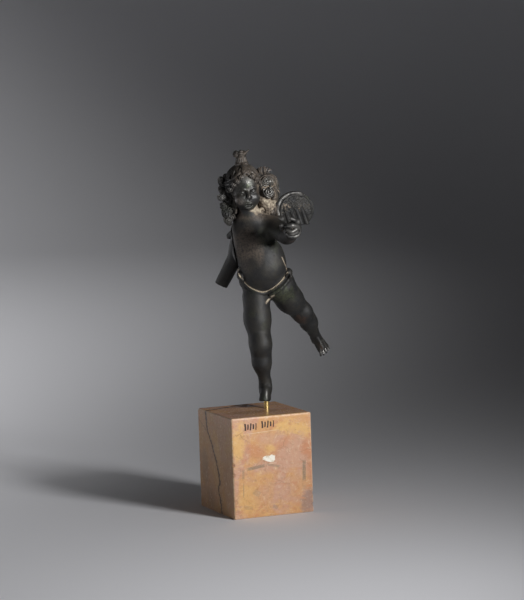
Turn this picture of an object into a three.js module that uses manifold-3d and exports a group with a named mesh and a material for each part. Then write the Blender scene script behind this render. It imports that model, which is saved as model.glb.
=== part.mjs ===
// A small bronze figurine of a winged child, held by a brass pin on a block of yellow and pink marble.
// Millimetres, +Z up. The origin is the middle of the block's underside, and the block's front faces -Y.

import * as THREE from "three";
import { RoundedBoxGeometry } from "three/addons/geometries/RoundedBoxGeometry.js";
import { SimplifyModifier } from "three/addons/modifiers/SimplifyModifier.js";
import { edgeTable, triTable } from "three/addons/objects/MarchingCubes.js";
import { mergeVertices } from "three/addons/utils/BufferGeometryUtils.js";
import Module from "manifold-3d";

const wasm = await Module();
wasm.setup();

// Driving dimensions
const block = { width: 42.4, depth: 46.3, height: 50, edge: 0.6 };
const pin = { radius: 1.3, x: 8.1, y: 2.7, inBlock: 14, shows: 4.2, inFoot: 3.4, gap: 0.3 };
const figure = { turn: -22, cell: 0.45, faces: 9000 }; // degrees about the pin, clay grid, faces kept

// Named points of the body, from the pin's axis at the block's top: x to the figure's left,
// y away from its front, z up. Each limb follows the points between its joints.
const at = (x, y, z) => new THREE.Vector3(x, y, z);
const joint = {
  rightHip: at(-3.3, 1.5, 56),
  rightThigh: at(-3.1, 0, 45),
  rightKnee: at(-1.9, -1.6, 32.4),
  rightShin: at(-1.6, 0.4, 23),
  rightAnkle: at(-0.2, 2.4, 12.6),
  rightHeel: at(-0.3, 4.6, 9.2),
  rightToes: at(-0.6, -3.0, 6.0),
  leftHip: at(8.8, 3, 61),
  leftThigh: at(13.4, 8.6, 53.6),
  leftKnee: at(19.7, 14.6, 46),
  leftShin: at(23.1, 20, 40.3),
  leftAnkle: at(26.2, 27.3, 32.2),
  leftToes: at(29.9, 30.6, 25.2),
  rightShoulder: at(-9.4, -1.5, 91.4),
  rightElbow: at(-13.2, 6.4, 75.6),
  rightWrist: at(-22.6, 13, 58.6),
  leftShoulder: at(4.2, -3, 92.0),
  leftElbow: at(12.9, -17, 88.3),
  leftWrist: at(14.8, -28.6, 89.4),
  neck: at(-3.8, -3, 95),
  throat: at(-6.2, -6.5, 103),
};

// The head has a frame of its own: origin in the skull, x to its left, y to its back, z to its crown.
const head = {
  middle: at(-7.7, -5.5, 113.6),
  turn: THREE.MathUtils.degToRad(10), // to its left
  lean: THREE.MathUtils.degToRad(-5), // to its right
  nod: THREE.MathUtils.degToRad(6), // forwards
};
const headFrame = new THREE.Matrix4()
  .makeRotationFromEuler(new THREE.Euler(head.nod, head.lean, head.turn, "ZYX"))
  .setPosition(head.middle);

// The wing's frame: origin at its middle, x to its tip, y through its thickness to the back, z up.
const wing = {
  middle: at(17.8, 9, 98.8),
  turn: THREE.MathUtils.degToRad(24),
  wide: 10.3,
  high: 9.2,
  thick: 1.1, // half of it
  floor: -7.9, // where the long feathers are cut straight
};
const wingFrame = new THREE.Matrix4().makeRotationZ(wing.turn).setPosition(wing.middle);

// The fold under the belly, from hip to hip as seen from the front: x and z
const fold = [[-11.6, 68.4], [-9.6, 65.4], [-6, 61.6], [0.2, 59], [5, 60.6], [9.6, 64.2], [12.8, 68.2]];

// Shapes are signed distances in millimetres, negative inside, each with the box it lies in.

// A limb: a straight cone with round ends, perhaps trimmed flat by a plane.
function cone(a, b, ra, rb = ra, trim = null) {
  const ab = b.clone().sub(a);
  const lengthSquared = Math.max(ab.lengthSq(), 1e-9);
  const box = new THREE.Box3().setFromPoints([a, b]).expandByScalar(Math.max(ra, rb));
  const distance = (x, y, z) => {
    const px = x - a.x, py = y - a.y, pz = z - a.z;
    const t = Math.min(1, Math.max(0, (px * ab.x + py * ab.y + pz * ab.z) / lengthSquared));
    const d = Math.hypot(px - ab.x * t, py - ab.y * t, pz - ab.z * t) - ra - (rb - ra) * t;
    return trim ? Math.max(d, trim.normal.x * x + trim.normal.y * y + trim.normal.z * z + trim.constant) : d;
  };
  return { box, distance };
}

// An egg: an ellipsoid in the frame of the part it belongs to.
function egg(middle, radii, frame = new THREE.Matrix4()) {
  const inside = frame.clone().invert().elements;
  const box = new THREE.Box3().setFromCenterAndSize(middle, radii.clone().multiplyScalar(2)).applyMatrix4(frame);
  const distance = (x, y, z) => {
    const lx = (inside[0] * x + inside[4] * y + inside[8] * z + inside[12] - middle.x) / radii.x;
    const ly = (inside[1] * x + inside[5] * y + inside[9] * z + inside[13] - middle.y) / radii.y;
    const lz = (inside[2] * x + inside[6] * y + inside[10] * z + inside[14] - middle.z) / radii.z;
    const scaled = Math.hypot(lx, ly, lz);
    return (scaled * (scaled - 1)) / Math.max(Math.hypot(lx / radii.x, ly / radii.y, lz / radii.z), 1e-6);
  };
  return { box, distance };
}

// A strand: cones along a smooth line through the points, thickness from its root to its tip.
function strand(points, root, tip, steps) {
  const line = new THREE.CatmullRomCurve3(points).getSpacedPoints(steps);
  return line.slice(1).map((end, i) => {
    const thick = (k) => root + ((tip - root) * k) / steps;
    return cone(line[i], end, thick(i), thick(i + 1));
  });
}

// A corkscrew curl from one end to the other, wound with so many turns round a core.
function corkscrew(from, to, coil, thick, turns) {
  const along = to.clone().sub(from);
  const side = new THREE.Vector3().crossVectors(along, at(0, 1, 0)).normalize();
  const out = new THREE.Vector3().crossVectors(side, along).normalize();
  const steps = Math.round(turns * 8);
  const points = Array.from({ length: steps + 1 }, (_, i) => {
    const angle = (i / 8) * 2 * Math.PI;
    const wide = coil * (0.75 + 0.25 * Math.sin((Math.PI * (i + 2)) / (steps + 4)));
    return from.clone()
      .addScaledVector(along, i / steps)
      .addScaledVector(side, wide * Math.cos(angle))
      .addScaledVector(out, wide * Math.sin(angle));
  });
  const rings = points.slice(1).map((end, i) => cone(points[i], end, thick));
  return [cone(from, to, coil * 0.85), ...rings];
}

// Clay on a grid: shapes are pressed on or cut away, and skin() gives its surface.
class Clay {
  constructor(box, cell) {
    this.low = box.min;
    this.cell = cell;
    this.count = box.getSize(at(0, 0, 0)).divideScalar(cell).ceil().addScalar(1);
    this.field = new Float32Array(this.count.x * this.count.y * this.count.z).fill(9);
  }

  // Runs change(distance so far, x, y, z) on every grid point within reach of a box.
  within(box, reach, change) {
    const first = box.min.clone().subScalar(reach).sub(this.low).divideScalar(this.cell).floor();
    const last = box.max.clone().addScalar(reach).sub(this.low).divideScalar(this.cell).ceil();
    const end = this.count.clone().subScalar(1);
    first.clamp(at(0, 0, 0), end);
    last.clamp(at(0, 0, 0), end);
    for (let k = first.z; k <= last.z; k++)
      for (let j = first.y; j <= last.y; j++)
        for (let i = first.x; i <= last.x; i++) {
          const n = i + this.count.x * (j + this.count.y * k);
          const x = this.low.x + i * this.cell;
          const y = this.low.y + j * this.cell;
          const z = this.low.z + k * this.cell;
          this.field[n] = change(this.field[n], x, y, z);
        }
  }

  add(shapes, blend = 0.6) {
    for (const { box, distance } of [shapes].flat())
      this.within(box, blend + 2 * this.cell, (d, x, y, z) => {
        const other = distance(x, y, z);
        const near = Math.max(blend - Math.abs(d - other), 0);
        return Math.min(d, other) - (near * near) / (4 * blend);
      });
  }

  cut(shapes, blend = 0.4) {
    for (const { box, distance } of [shapes].flat())
      this.within(box, blend + 2 * this.cell, (d, x, y, z) => {
        const other = -distance(x, y, z);
        const near = Math.max(blend - Math.abs(d - other), 0);
        return Math.max(d, other) + (near * near) / (4 * blend);
      });
  }

  // The first point of the clay behind a place seen from the front.
  front(x, z) {
    const i = Math.round((x - this.low.x) / this.cell);
    const k = Math.round((z - this.low.z) / this.cell);
    let j = 0;
    while (j < this.count.y - 1 && this.field[i + this.count.x * (j + this.count.y * k)] > 0) j++;
    return at(x, this.low.y + j * this.cell, z);
  }

  // Fills the bubbles that shapes have closed in, so the clay is solid.
  fill() {
    const { x: nx, y: ny } = this.count;
    const open = new Uint8Array(this.field.length);
    const reached = [0];
    while (reached.length) {
      const n = reached.pop();
      for (const step of [-1, 1, -nx, nx, -nx * ny, nx * ny])
        if (this.field[n + step] > 0 && !open[n + step]) {
          open[n + step] = 1;
          reached.push(n + step);
        }
    }
    this.field.forEach((d, n) => {
      if (d > 0 && !open[n]) this.field[n] = -d;
    });
  }

  // The surface as triangles that share their corners, by marching cubes.
  skin() {
    const { x: nx, y: ny, z: nz } = this.count;
    const step = [1, nx, nx * ny];
    const corners = [0, 1, 1 + nx, nx, nx * ny, 1 + nx * ny, 1 + nx + nx * ny, nx + nx * ny];
    const edges = [[0, 0], [1, 1], [3, 0], [0, 1], [4, 0], [5, 1], [7, 0], [4, 1], [0, 2], [1, 2], [2, 2], [3, 2]];
    const least = 0.04 * this.cell; // no corner lies on the surface, so no face has zero area
    const value = (n) => {
      const d = this.field[n];
      return Math.abs(d) < least ? (d < 0 ? -least : least) : d;
    };
    const positions = [];
    const index = [];
    const made = new Map();
    const vertex = (n, axis) => {
      const key = n * 3 + axis;
      if (made.has(key)) return made.get(key);
      const t = value(n) / (value(n) - value(n + step[axis]));
      const p = at(n % nx, Math.floor(n / nx) % ny, Math.floor(n / (nx * ny)));
      p.setComponent(axis, p.getComponent(axis) + t);
      positions.push(...p.multiplyScalar(this.cell).add(this.low));
      made.set(key, made.size);
      return made.size - 1;
    };
    for (let k = 0; k < nz - 1; k++)
      for (let j = 0; j < ny - 1; j++)
        for (let i = 0; i < nx - 1; i++) {
          const n = i + nx * (j + ny * k);
          let kind = 0;
          for (let b = 0; b < 8; b++) if (value(n + corners[b]) < 0) kind |= 1 << b;
          if (edgeTable[kind] === 0) continue;
          for (let t = kind * 16; triTable[t] !== -1; t += 3)
            for (const turn of [0, 2, 1]) {
              const [corner, axis] = edges[triTable[t + turn]];
              index.push(vertex(n + corners[corner], axis));
            }
        }
    return new THREE.BufferGeometry()
      .setAttribute("position", new THREE.Float32BufferAttribute(positions, 3))
      .setIndex(index);
  }
}

function modelTorso(clay) {
  clay.add(egg(at(1.6, 3.0, 64.4), at(13.3, 9.0, 8.6)), 2);
  clay.add(egg(at(0.6, -1.0, 69.6), at(11.8, 9.6, 10.4)), 2);
  clay.add(egg(at(-2.1, -1.0, 79.5), at(12.2, 8.7, 9)), 3);
  clay.add(egg(at(-3.8, -2.6, 88), at(10.8, 8.4, 8.6)), 3);
  clay.add(cone(joint.rightShoulder, joint.leftShoulder, 4.7, 5.3), 3);
  clay.add(egg(at(-10.3, -1.4, 67.4), at(2.3, 3.6, 2.8)), 0.8); // right hip
  clay.add(egg(at(13.2, -1.2, 68.0), at(2.2, 3.4, 2.4)), 0.8); // left hip
  for (const side of [-1, 1]) {
    clay.add(egg(at(1.8 + side * 5.6, 6.4, 62), at(6.2, 6.0, 6.4)), 2); // seat
    clay.add(egg(at(-4.0 + side * 4.6, -7.2, 88.6), at(4.6, 3.2, 4.0)), 2.5); // breast
  }
  clay.cut(cone(at(-1.8, 9.6, 92), at(1.6, 13.8, 61), 0.5, 0.7), 2.4); // hollow of the back
  clay.add(cone(joint.neck, joint.throat, 5.0, 4.4), 2.5);
}

function modelLegs(clay) {
  const { rightHip, rightThigh, rightKnee, rightShin, rightAnkle, rightHeel, rightToes } = joint;
  clay.add(cone(rightHip, rightThigh, 7.0, 6.4), 2);
  clay.add(cone(rightThigh, rightKnee, 6.4, 5.4), 1.5);
  clay.add(cone(rightKnee, rightShin, 5.4, 4.3), 1.2);
  clay.add(egg(at(-1.7, 2.4, 26.4), at(4.7, 4.4, 7.6)), 1.5); // calf
  clay.add(cone(rightShin, rightAnkle, 4.1, 2.8), 1.2);
  clay.add(egg(at(-2.0, -5.2, 33.2), at(3.1, 2.1, 3.0)), 2); // kneecap
  clay.add(cone(rightAnkle, rightHeel, 2.7, 2.4), 1);
  clay.add(cone(rightAnkle, rightToes, 2.7, 1.9), 1.2);
  clay.add(cone(rightHeel, rightToes, 2.3, 2.0), 1);
  clay.add(cone(at(0.9, -2.6, 6.0), at(-2.1, -2.6, 6.0), 1.7), 0.8); // ball
  const { leftHip, leftThigh, leftKnee, leftShin, leftAnkle, leftToes } = joint;
  clay.add(cone(leftHip, leftThigh, 8.0, 6.5), 2);
  clay.add(cone(leftThigh, leftKnee, 6.5, 5.0), 1.5);
  clay.add(cone(leftKnee, leftShin, 4.9, 4.0), 1.2);
  clay.add(egg(at(22.0, 21.0, 42.4), at(4.1, 4.6, 5.6)), 1.5); // calf
  clay.add(cone(leftShin, leftAnkle, 3.9, 2.5), 1.2);
  clay.add(egg(at(21.2, 10.8, 46.8), at(3.0, 2.4, 3.0)), 2); // kneecap
  clay.add(cone(leftAnkle, at(25.9, 30.6, 29.8), 2.3, 1.9), 1); // heel
  clay.add(cone(leftAnkle, leftToes, 2.5, 2.1), 1);
  clay.add(cone(at(28.5, 30.4, 24.4), at(31.4, 30.8, 26.6), 1.9), 0.8); // ball
}

// Five toes side by side across the end of a foot, the big toe first.
function modelToes(clay, root, across, forward, radius) {
  for (let i = 0; i < 5; i++) {
    const from = root.clone().addScaledVector(across, i * radius * 1.5);
    const reach = forward.clone().multiplyScalar(1 - 0.11 * i);
    const thick = radius * (i === 0 ? 1.2 : 0.92 - 0.04 * i);
    clay.add(cone(from, from.clone().add(reach), thick, thick * 0.85), 0.2);
  }
}

function modelArms(clay) {
  const { rightShoulder, rightElbow, rightWrist, leftShoulder, leftElbow, leftWrist } = joint;
  clay.add(cone(rightShoulder, rightElbow, 4.4, 3.9), 1);
  const along = rightWrist.clone().sub(rightElbow).normalize();
  const broken = new THREE.Plane().setFromNormalAndCoplanarPoint(along, at(-21, 11.8, 61.7));
  clay.add(cone(rightElbow, rightWrist, 3.9, 3.0, broken), 0.6);
  clay.add(cone(leftShoulder, leftElbow, 5.2, 4.9), 2);
  clay.add(cone(leftElbow, leftWrist, 4.6, 3.2), 1.5);
}

// The fist: four fingers wound round the hole where something was once held, and a thumb over it.
function modelFist(clay) {
  const grip = { foot: at(15.4, -32.8, 88), top: at(12.4, -35.6, 97.6), radius: 1.6 };
  const up = grip.top.clone().sub(grip.foot).normalize();
  const right = at(1, 0, 0).addScaledVector(up, -up.x).normalize();
  const back = new THREE.Vector3().crossVectors(up, right);
  clay.add(egg(at(16.0, -30.6, 93.0), at(3.3, 3.4, 4.4)), 1.2); // palm
  const finger = { reach: 3.2, thick: 1.25, rise: 2.15, low: 2.6 };
  for (let i = 0; i < 4; i++) {
    const middle = grip.foot.clone().addScaledVector(up, finger.low + i * finger.rise);
    const bend = Array.from({ length: 8 }, (_, k) => {
      const angle = THREE.MathUtils.degToRad(35 - k * 33);
      return middle.clone()
        .addScaledVector(right, finger.reach * Math.cos(angle))
        .addScaledVector(back, finger.reach * Math.sin(angle));
    });
    clay.add(strand(bend, finger.thick, finger.thick * 0.85, 12), 0.25);
  }
  const thumb = [at(12.8, -28.6, 91.8), at(10.2, -31.2, 93.0), at(9.2, -34.4, 93.6), at(10.0, -37.2, 93.0)];
  clay.add(strand(thumb, 1.5, 1.1, 8), 0.3);
  const mouth = grip.top.clone().addScaledVector(up, 3);
  clay.cut(cone(grip.foot.clone().addScaledVector(up, 3), mouth, grip.radius, grip.radius + 0.4), 0.2);
}

function modelFace(clay) {
  const own = (x, y, z) => at(x, y, z).applyMatrix4(headFrame);
  const part = (x, y, z, rx, ry, rz) => egg(at(x, y, z), at(rx, ry, rz), headFrame);
  clay.add(part(0, 0.6, 0, 7.6, 8.8, 8.6), 1.5); // skull
  clay.add(part(0, -3.2, -4.8, 6.4, 5.9, 7.4), 2);
  clay.add(part(0, -3.4, 0.6, 6.7, 5.6, 5.6), 2); // forehead
  clay.add(part(0, -4.8, -8.2, 5.3, 4.5, 3.9), 1.5); // jaw
  clay.add(part(0, -7.9, -10.7, 1.9, 1.4, 1.2), 1.2); // chin
  for (const side of [-1, 1]) {
    clay.add(part(side * 3.3, -6.2, -6.6, 2.9, 2.8, 3.0), 1.6); // cheek
    clay.cut(part(side * 2.7, -9.3, -3.0, 1.8, 1.4, 1.1), 1.0); // eye socket
    clay.add(part(side * 2.7, -7.35, -3.0, 1.5, 1.25, 0.95), 0.15); // eye
    const brow = [own(side * 1.0, -8.7, -1.9), own(side * 2.8, -8.5, -1.2), own(side * 4.7, -7.1, -1.9)];
    clay.add(strand(brow, 0.4, 0.3, 4), 0.6);
    clay.add(part(side * 1.0, -9.4, -5.7, 0.7, 0.8, 0.55), 0.3); // nostril
  }
  clay.add(cone(own(0, -8.7, -2.0), own(0, -10.2, -5.4), 0.7, 0.95), 0.6); // nose
  const upper = [own(-1.9, -8.3, -8.0), own(-0.6, -9.0, -7.7), own(0.6, -9.0, -7.7), own(1.9, -8.3, -8.0)];
  const lower = [own(-1.4, -8.3, -8.6), own(0, -8.9, -9.0), own(1.4, -8.3, -8.6)];
  clay.add(strand(upper, 0.45, 0.45, 6), 0.2);
  clay.add(strand(lower, 0.5, 0.5, 6), 0.2);
}

function modelHair(clay) {
  const own = (x, y, z) => at(x, y, z).applyMatrix4(headFrame);
  // Locks combed from the topknot down to the brow, the temples and the nape
  const locks = 24;
  for (let i = 0; i < locks; i++) {
    const round = ((i + 0.5) / locks) * 2 * Math.PI; // 0 is the face's side
    const beside = Math.cos(round) > 0 ? Math.sin(round) ** 2 : 1; // the hair line arches over the brow
    const low = 56 + 52 * beside; // how far down it reaches, in degrees from the crown
    const line = Array.from({ length: 6 }, (_, k) => {
      const down = THREE.MathUtils.degToRad(12 + ((low - 12) * k) / 5);
      const wave = round + 0.08 * Math.sin(k * 1.7);
      const level = Math.sin(down);
      return own(8.1 * level * Math.sin(wave), 0.6 - 9.2 * level * Math.cos(wave), 9.0 * Math.cos(down));
    });
    clay.add(strand(line, 0.9, 1.25, 8), 0.25);
  }
  // Plait from the brow to the topknot
  for (let i = 0; i < 7; i++) {
    const down = THREE.MathUtils.degToRad(62 - i * 8.5);
    const bead = own(0.35 * (i % 2 ? 1 : -1), 0.6 - 10 * Math.sin(down), 9.9 * Math.cos(down));
    clay.add(egg(bead, at(1.25, 1.1, 1.0)), 0.3);
  }
  // Topknot: a bound neck of hair with three lobes
  clay.add(cone(own(0, 0, 8.4), own(-0.1, 0, 12.8), 2.9, 2.5), 0.6);
  clay.add(egg(own(0, 0, 9.7), at(3.2, 3.2, 0.7)), 0.3);
  clay.add(egg(own(-2.0, 0.2, 14.0), at(1.8, 1.9, 1.7)), 0.3);
  clay.add(egg(own(-0.2, -0.6, 14.6), at(1.5, 1.6, 1.5)), 0.3);
  clay.add(egg(own(1.6, 0.2, 13.9), at(1.6, 1.5, 1.4)), 0.3);
  clay.add(cone(own(1.8, 0.2, 14.0), own(4.4, 0.4, 15.3), 1.2, 0.5), 0.3);
  // Rolled curls beside the face, the figure's left side first, and the hair that carries them
  clay.add(corkscrew(at(0.6, -6.8, 119.3), at(5.6, -6.6, 118.3), 1.6, 0.65, 3), 0.2);
  clay.add(corkscrew(at(0.4, -8.0, 115.8), at(8.2, -7.6, 113.6), 2.4, 0.7, 4), 0.2);
  clay.add(corkscrew(at(0.6, -8.2, 109.8), at(8.2, -7.8, 107.6), 2.3, 0.7, 4), 0.2);
  clay.add(corkscrew(at(-15.4, -7.0, 115.4), at(-20.2, -6.8, 113.8), 2.1, 0.7, 3), 0.2);
  clay.add(corkscrew(at(-14.2, -8.2, 110.0), at(-20.2, -7.8, 105.6), 2.9, 0.75, 4), 0.2);
  clay.add(corkscrew(at(-12.8, -8.4, 104.0), at(-17.8, -8.4, 99.8), 2.6, 0.75, 3.5), 0.2);
  clay.add(corkscrew(at(-14.2, -8.6, 99.2), at(-16.0, -8.4, 94.4), 2.3, 0.75, 3.5), 0.2);
  clay.add(strand([at(-13.8, -5.6, 116), at(-14.4, -6.4, 109), at(-12.2, -6.6, 101)], 2.2, 3.0, 5), 1);
  clay.add(strand([at(-0.6, -5.2, 117.6), at(1.8, -5.4, 112), at(3.4, -2.4, 103)], 2.4, 3.2, 5), 1);
  // Loose locks down the back of the neck, over a mass that spreads to both shoulders
  clay.add(strand([at(-12, 0.6, 106), at(-4, 3, 104), at(3.4, 1.2, 102)], 4.6, 4.0, 6), 2);
  clay.add(strand([at(-11, -0.6, 99.6), at(-3, 2, 99.4), at(4.2, 0.2, 99)], 3.4, 3.0, 6), 2);
  for (let i = 0; i < 8; i++) {
    const x = -14.6 + i * 2.75;
    const back = 4.8 - 0.26 * (i - 3.6) * (i - 3.6);
    const line = [
      at(x, back, 110),
      at(x + 0.9, back + 2.4, 105),
      at(x + 0.1, back + 1.6, 100),
      at(x + 0.9, back + 1.2, 95.8),
    ];
    clay.add(strand(line, 1.9, 1.2, 6), 0.4);
  }
}

// One rounded wing: a plate with a rolled front edge, long feathers cut straight below, and short
// ones that lie like scales above them; and the stump of the other wing.
function modelWing(clay) {
  const own = (x, y, z) => at(x, y, z).applyMatrix4(wingFrame);
  const { wide, high, thick, floor } = wing;
  const cutOff = new THREE.Plane(at(0, 0, -1), wing.middle.z + floor);
  const trimmed = ({ box, distance }) => ({
    box,
    distance: (x, y, z) => Math.max(distance(x, y, z), cutOff.normal.z * z + cutOff.constant),
  });
  clay.add(cone(at(3, 4.2, 93.4), own(-8.4, -0.8, -4.6), 3.0, 2.2), 1.5);
  clay.add(trimmed(egg(at(0, 0, -0.4), at(wide, thick, high), wingFrame)), 0.6);
  for (let i = 0; i < 5; i++) {
    const inner = i / 4;
    const line = [
      [-1 - 7.4 * inner, 7.4 - 5.2 * inner],
      [6.4 - 9.8 * inner, 4.6 - 2.4 * inner],
      [8.8 - 9.0 * inner, -1.4 - 0.6 * inner],
      [8.6 - 9.6 * inner, floor],
    ];
    const arc = new THREE.CatmullRomCurve3(line.map(([x, z]) => at(x, 0, z)));
    for (const face of [-1, 1]) {
      const vane = arc.getPoints(8).slice(4).map(({ x, z }) => own(x, face * 0.55, z));
      clay.add(strand(vane, 1.15, 1.25, 4).map(trimmed), 0.2);
      for (const scale of arc.getSpacedPoints(7).slice(1, 5))
        clay.add(egg(at(scale.x, face * 0.75, scale.z), at(1.3, 0.75, 1.3), wingFrame), 0.15);
    }
  }
  const rim = Array.from({ length: 12 }, (_, i) => {
    const angle = THREE.MathUtils.degToRad(212 - i * 13);
    return own((wide - 0.3) * Math.cos(angle), -0.5, (high - 0.8) * Math.sin(angle));
  });
  clay.add(strand(rim, 1.6, 0.6, 20), 0.3);
  clay.add(cone(at(-12.6, 4.6, 89), at(-15.6, 8.0, 86.6), 2.0, 1.7), 0.8); // stump
}

function modelFigure() {
  const clay = new Clay(new THREE.Box3(at(-25, -41.5, 2.5), at(36.5, 35, 132.5)), figure.cell);
  modelTorso(clay);
  modelLegs(clay);
  modelToes(clay, at(1.4, -3.6, 5.6), at(-1, 0, 0), at(0, -1.3, -0.9), 0.75);
  modelToes(clay, at(28.0, 30.8, 23.6), at(0.78, 0.1, 0.6), at(0.5, 0.2, -1.5), 0.85);
  modelArms(clay);
  modelFist(clay);
  const crease = new THREE.CatmullRomCurve3(fold.map(([x, z]) => at(x, 0, z)))
    .getSpacedPoints(28)
    .map(({ x, z }) => clay.front(x, z));
  clay.add(strand(crease.map((p) => p.clone().add(at(0, 0.3, -0.9))), 0.55, 0.55, 56), 0.7);
  clay.cut(strand(crease, 0.4, 0.4, 56), 0.4);
  modelWing(clay);
  modelFace(clay);
  modelHair(clay);
  clay.fill();
  return clay.skin();
}

// Keeps so many faces of a fine skin. Those of the face, the fist and the feet are spread out while
// the choice is made, so that more of them are kept.
async function thin(fine, faces) {
  const lenses = [
    { middle: at(0, -8, -5).applyMatrix4(headFrame), reach: 7.5, power: 1.0 },
    { middle: at(14.4, -34, 93), reach: 6, power: 0.5 },
    { middle: at(30, 30.6, 24), reach: 3.6, power: 0.8 },
  ];
  const { position } = fine.attributes;
  fine.setAttribute("place", position.clone());
  const p = at(0, 0, 0);
  for (let i = 0; i < position.count; i++) {
    p.fromBufferAttribute(fine.attributes.place, i);
    const moved = p.clone();
    for (const { middle, reach, power } of lenses) {
      const away = p.clone().sub(middle);
      moved.addScaledVector(away, (power * Math.min(away.length(), reach)) / Math.max(away.length(), 1e-6));
    }
    position.setXYZ(i, ...moved);
  }
  const coarse = await new SimplifyModifier().modify(fine, position.count - faces / 2);
  return coarse.setAttribute("position", coarse.attributes.place).deleteAttribute("place");
}

// A closed geometry as a solid to join or cut, and back again.
function solid(geometry) {
  const bare = geometry.clone();
  for (const name of ["normal", "uv"]) bare.deleteAttribute(name);
  const merged = mergeVertices(bare, 1e-4);
  const triVerts = new Uint32Array(merged.index.array);
  return new wasm.Manifold(
    new wasm.Mesh({ numProp: 3, vertProperties: merged.attributes.position.array, triVerts }),
  );
}

function geometryOf(made) {
  const { vertProperties, triVerts } = made.getMesh();
  const geometry = new THREE.BufferGeometry()
    .setAttribute("position", new THREE.BufferAttribute(vertProperties, 3))
    .setIndex(new THREE.BufferAttribute(triVerts, 1));
  geometry.computeVertexNormals();
  return geometry;
}

// Thinning can leave two sheets of the surface meeting in a point or an edge. Each corner that
// shares its place with another is drawn a hair into its own side, so every edge has two faces.
function partSheets(geometry) {
  const { position, normal } = geometry.attributes;
  const seen = new Map();
  for (let i = 0; i < position.count; i++) {
    const key = [position.getX(i), position.getY(i), position.getZ(i)].join();
    seen.set(key, [...(seen.get(key) ?? []), i]);
  }
  for (const i of [...seen.values()].filter((same) => same.length > 1).flat()) {
    const place = new THREE.Vector3().fromBufferAttribute(position, i);
    place.addScaledVector(new THREE.Vector3().fromBufferAttribute(normal, i), -0.03);
    position.setXYZ(i, ...place);
  }
  return geometry;
}

// An upright cylinder between two heights.
function rod(radius, low, high, x = 0, y = 0) {
  const geometry = new THREE.CylinderGeometry(radius, radius, high - low, 32);
  return geometry.rotateX(Math.PI / 2).translate(x, y, (low + high) / 2);
}

async function makeFigurine() {
  // Thinning can also close a tiny bubble off, so the largest of the bodies is the figure
  const bodies = solid(await thin(modelFigure(), figure.faces)).decompose();
  const body = bodies.sort((a, b) => b.volume() - a.volume())[0];
  const hole = solid(rod(pin.radius + pin.gap, 0, pin.shows + pin.inFoot + pin.gap));
  return partSheets(geometryOf(body.subtract(hole)));
}

function makeBlock() {
  const { width, depth, height, edge } = block;
  let stone = solid(new RoundedBoxGeometry(width, depth, height, 1, edge).translate(0, 0, height / 2));
  stone = stone.subtract(solid(rod(pin.radius + pin.gap, height - pin.inBlock - pin.gap, height + 1, pin.x, pin.y)));
  // Chips along the two upright edges of the front: side, height, size
  for (const [side, z, size] of [[-1, 27, 0.9], [-1, 22, 1.1], [1, 10, 1.0], [1, 3.6, 1.2]]) {
    const chip = new THREE.IcosahedronGeometry(size).scale(1, 1, 1.4).rotateZ(z);
    stone = stone.subtract(solid(chip.translate((side * (width + size * 0.6)) / 2, -(depth + size * 0.6) / 2, z)));
  }
  return geometryOf(stone);
}

function mesh(name, geometry, colour, roughness, metalness) {
  const made = new THREE.Mesh(geometry, new THREE.MeshStandardMaterial({ color: colour, roughness, metalness }));
  made.name = name;
  return made;
}

const part = new THREE.Group();
part.add(mesh("marble_block", makeBlock(), 0xd09a6c, 0.35, 0));

const standing = new THREE.Group();
standing.position.set(pin.x, pin.y, block.height);
standing.rotation.z = THREE.MathUtils.degToRad(figure.turn);
standing.add(mesh("brass_pin", rod(pin.radius, -pin.inBlock, pin.shows + pin.inFoot), 0xb8a04a, 0.35, 1));
standing.add(mesh("bronze_figurine", await makeFigurine(), 0x2b2a26, 0.42, 0.85));
part.add(standing);

export default part;
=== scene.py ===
# A small bronze figurine of a winged child, held by a brass pin on a block of yellow and pink marble.
# Pieces are in metres in the CAD frame: the block's underside is at z = 0 and its front faces -Y.
# The modelling below works in millimetres.
import math

import bpy
import numpy as np
import openvdb
from mathutils import Euler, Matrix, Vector


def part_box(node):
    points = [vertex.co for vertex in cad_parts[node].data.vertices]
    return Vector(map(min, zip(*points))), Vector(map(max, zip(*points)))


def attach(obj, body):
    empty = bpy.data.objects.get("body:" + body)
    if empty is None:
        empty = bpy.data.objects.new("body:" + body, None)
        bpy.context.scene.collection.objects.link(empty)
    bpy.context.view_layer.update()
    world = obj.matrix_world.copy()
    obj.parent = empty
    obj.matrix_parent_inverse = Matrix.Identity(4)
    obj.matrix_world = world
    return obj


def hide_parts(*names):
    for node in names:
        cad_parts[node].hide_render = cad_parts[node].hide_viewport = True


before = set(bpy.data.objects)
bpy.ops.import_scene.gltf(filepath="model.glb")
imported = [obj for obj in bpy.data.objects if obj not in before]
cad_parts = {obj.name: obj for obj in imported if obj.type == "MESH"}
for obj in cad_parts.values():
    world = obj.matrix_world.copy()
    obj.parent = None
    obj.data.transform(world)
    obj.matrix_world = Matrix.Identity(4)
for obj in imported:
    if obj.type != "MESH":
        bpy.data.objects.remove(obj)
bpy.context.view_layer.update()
metre = 1000  # mm
print("frame loaded:", ", ".join(sorted(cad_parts)))

photoCamera = {
    "place": (-0.47391, -1.19071, 0.23245),
    "turn": (84.322, 1.937, -22.166),  # degrees about X, Y and Z
    "lens": 155.2,
    "sensor": 36,
}


def makeCamera():
    camera = bpy.data.cameras.new("photoCamera")
    camera.lens, camera.sensor_width = photoCamera["lens"], photoCamera["sensor"]
    holder = bpy.data.objects.new("photoCamera", camera)
    holder.location = photoCamera["place"]
    holder.rotation_euler = [math.radians(angle) for angle in photoCamera["turn"]]
    bpy.context.scene.collection.objects.link(holder)
    bpy.context.scene.camera = holder


makeCamera()


# Clay on a grid: signed distances in mm, negative inside. A shape is (low corner, high corner, distance).
def at(x, y, z):
    return np.array((x, y, z), float)


def lengthOf(vector):
    return math.sqrt(float(vector @ vector))


def unit(vector):
    return vector / lengthOf(vector)


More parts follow.
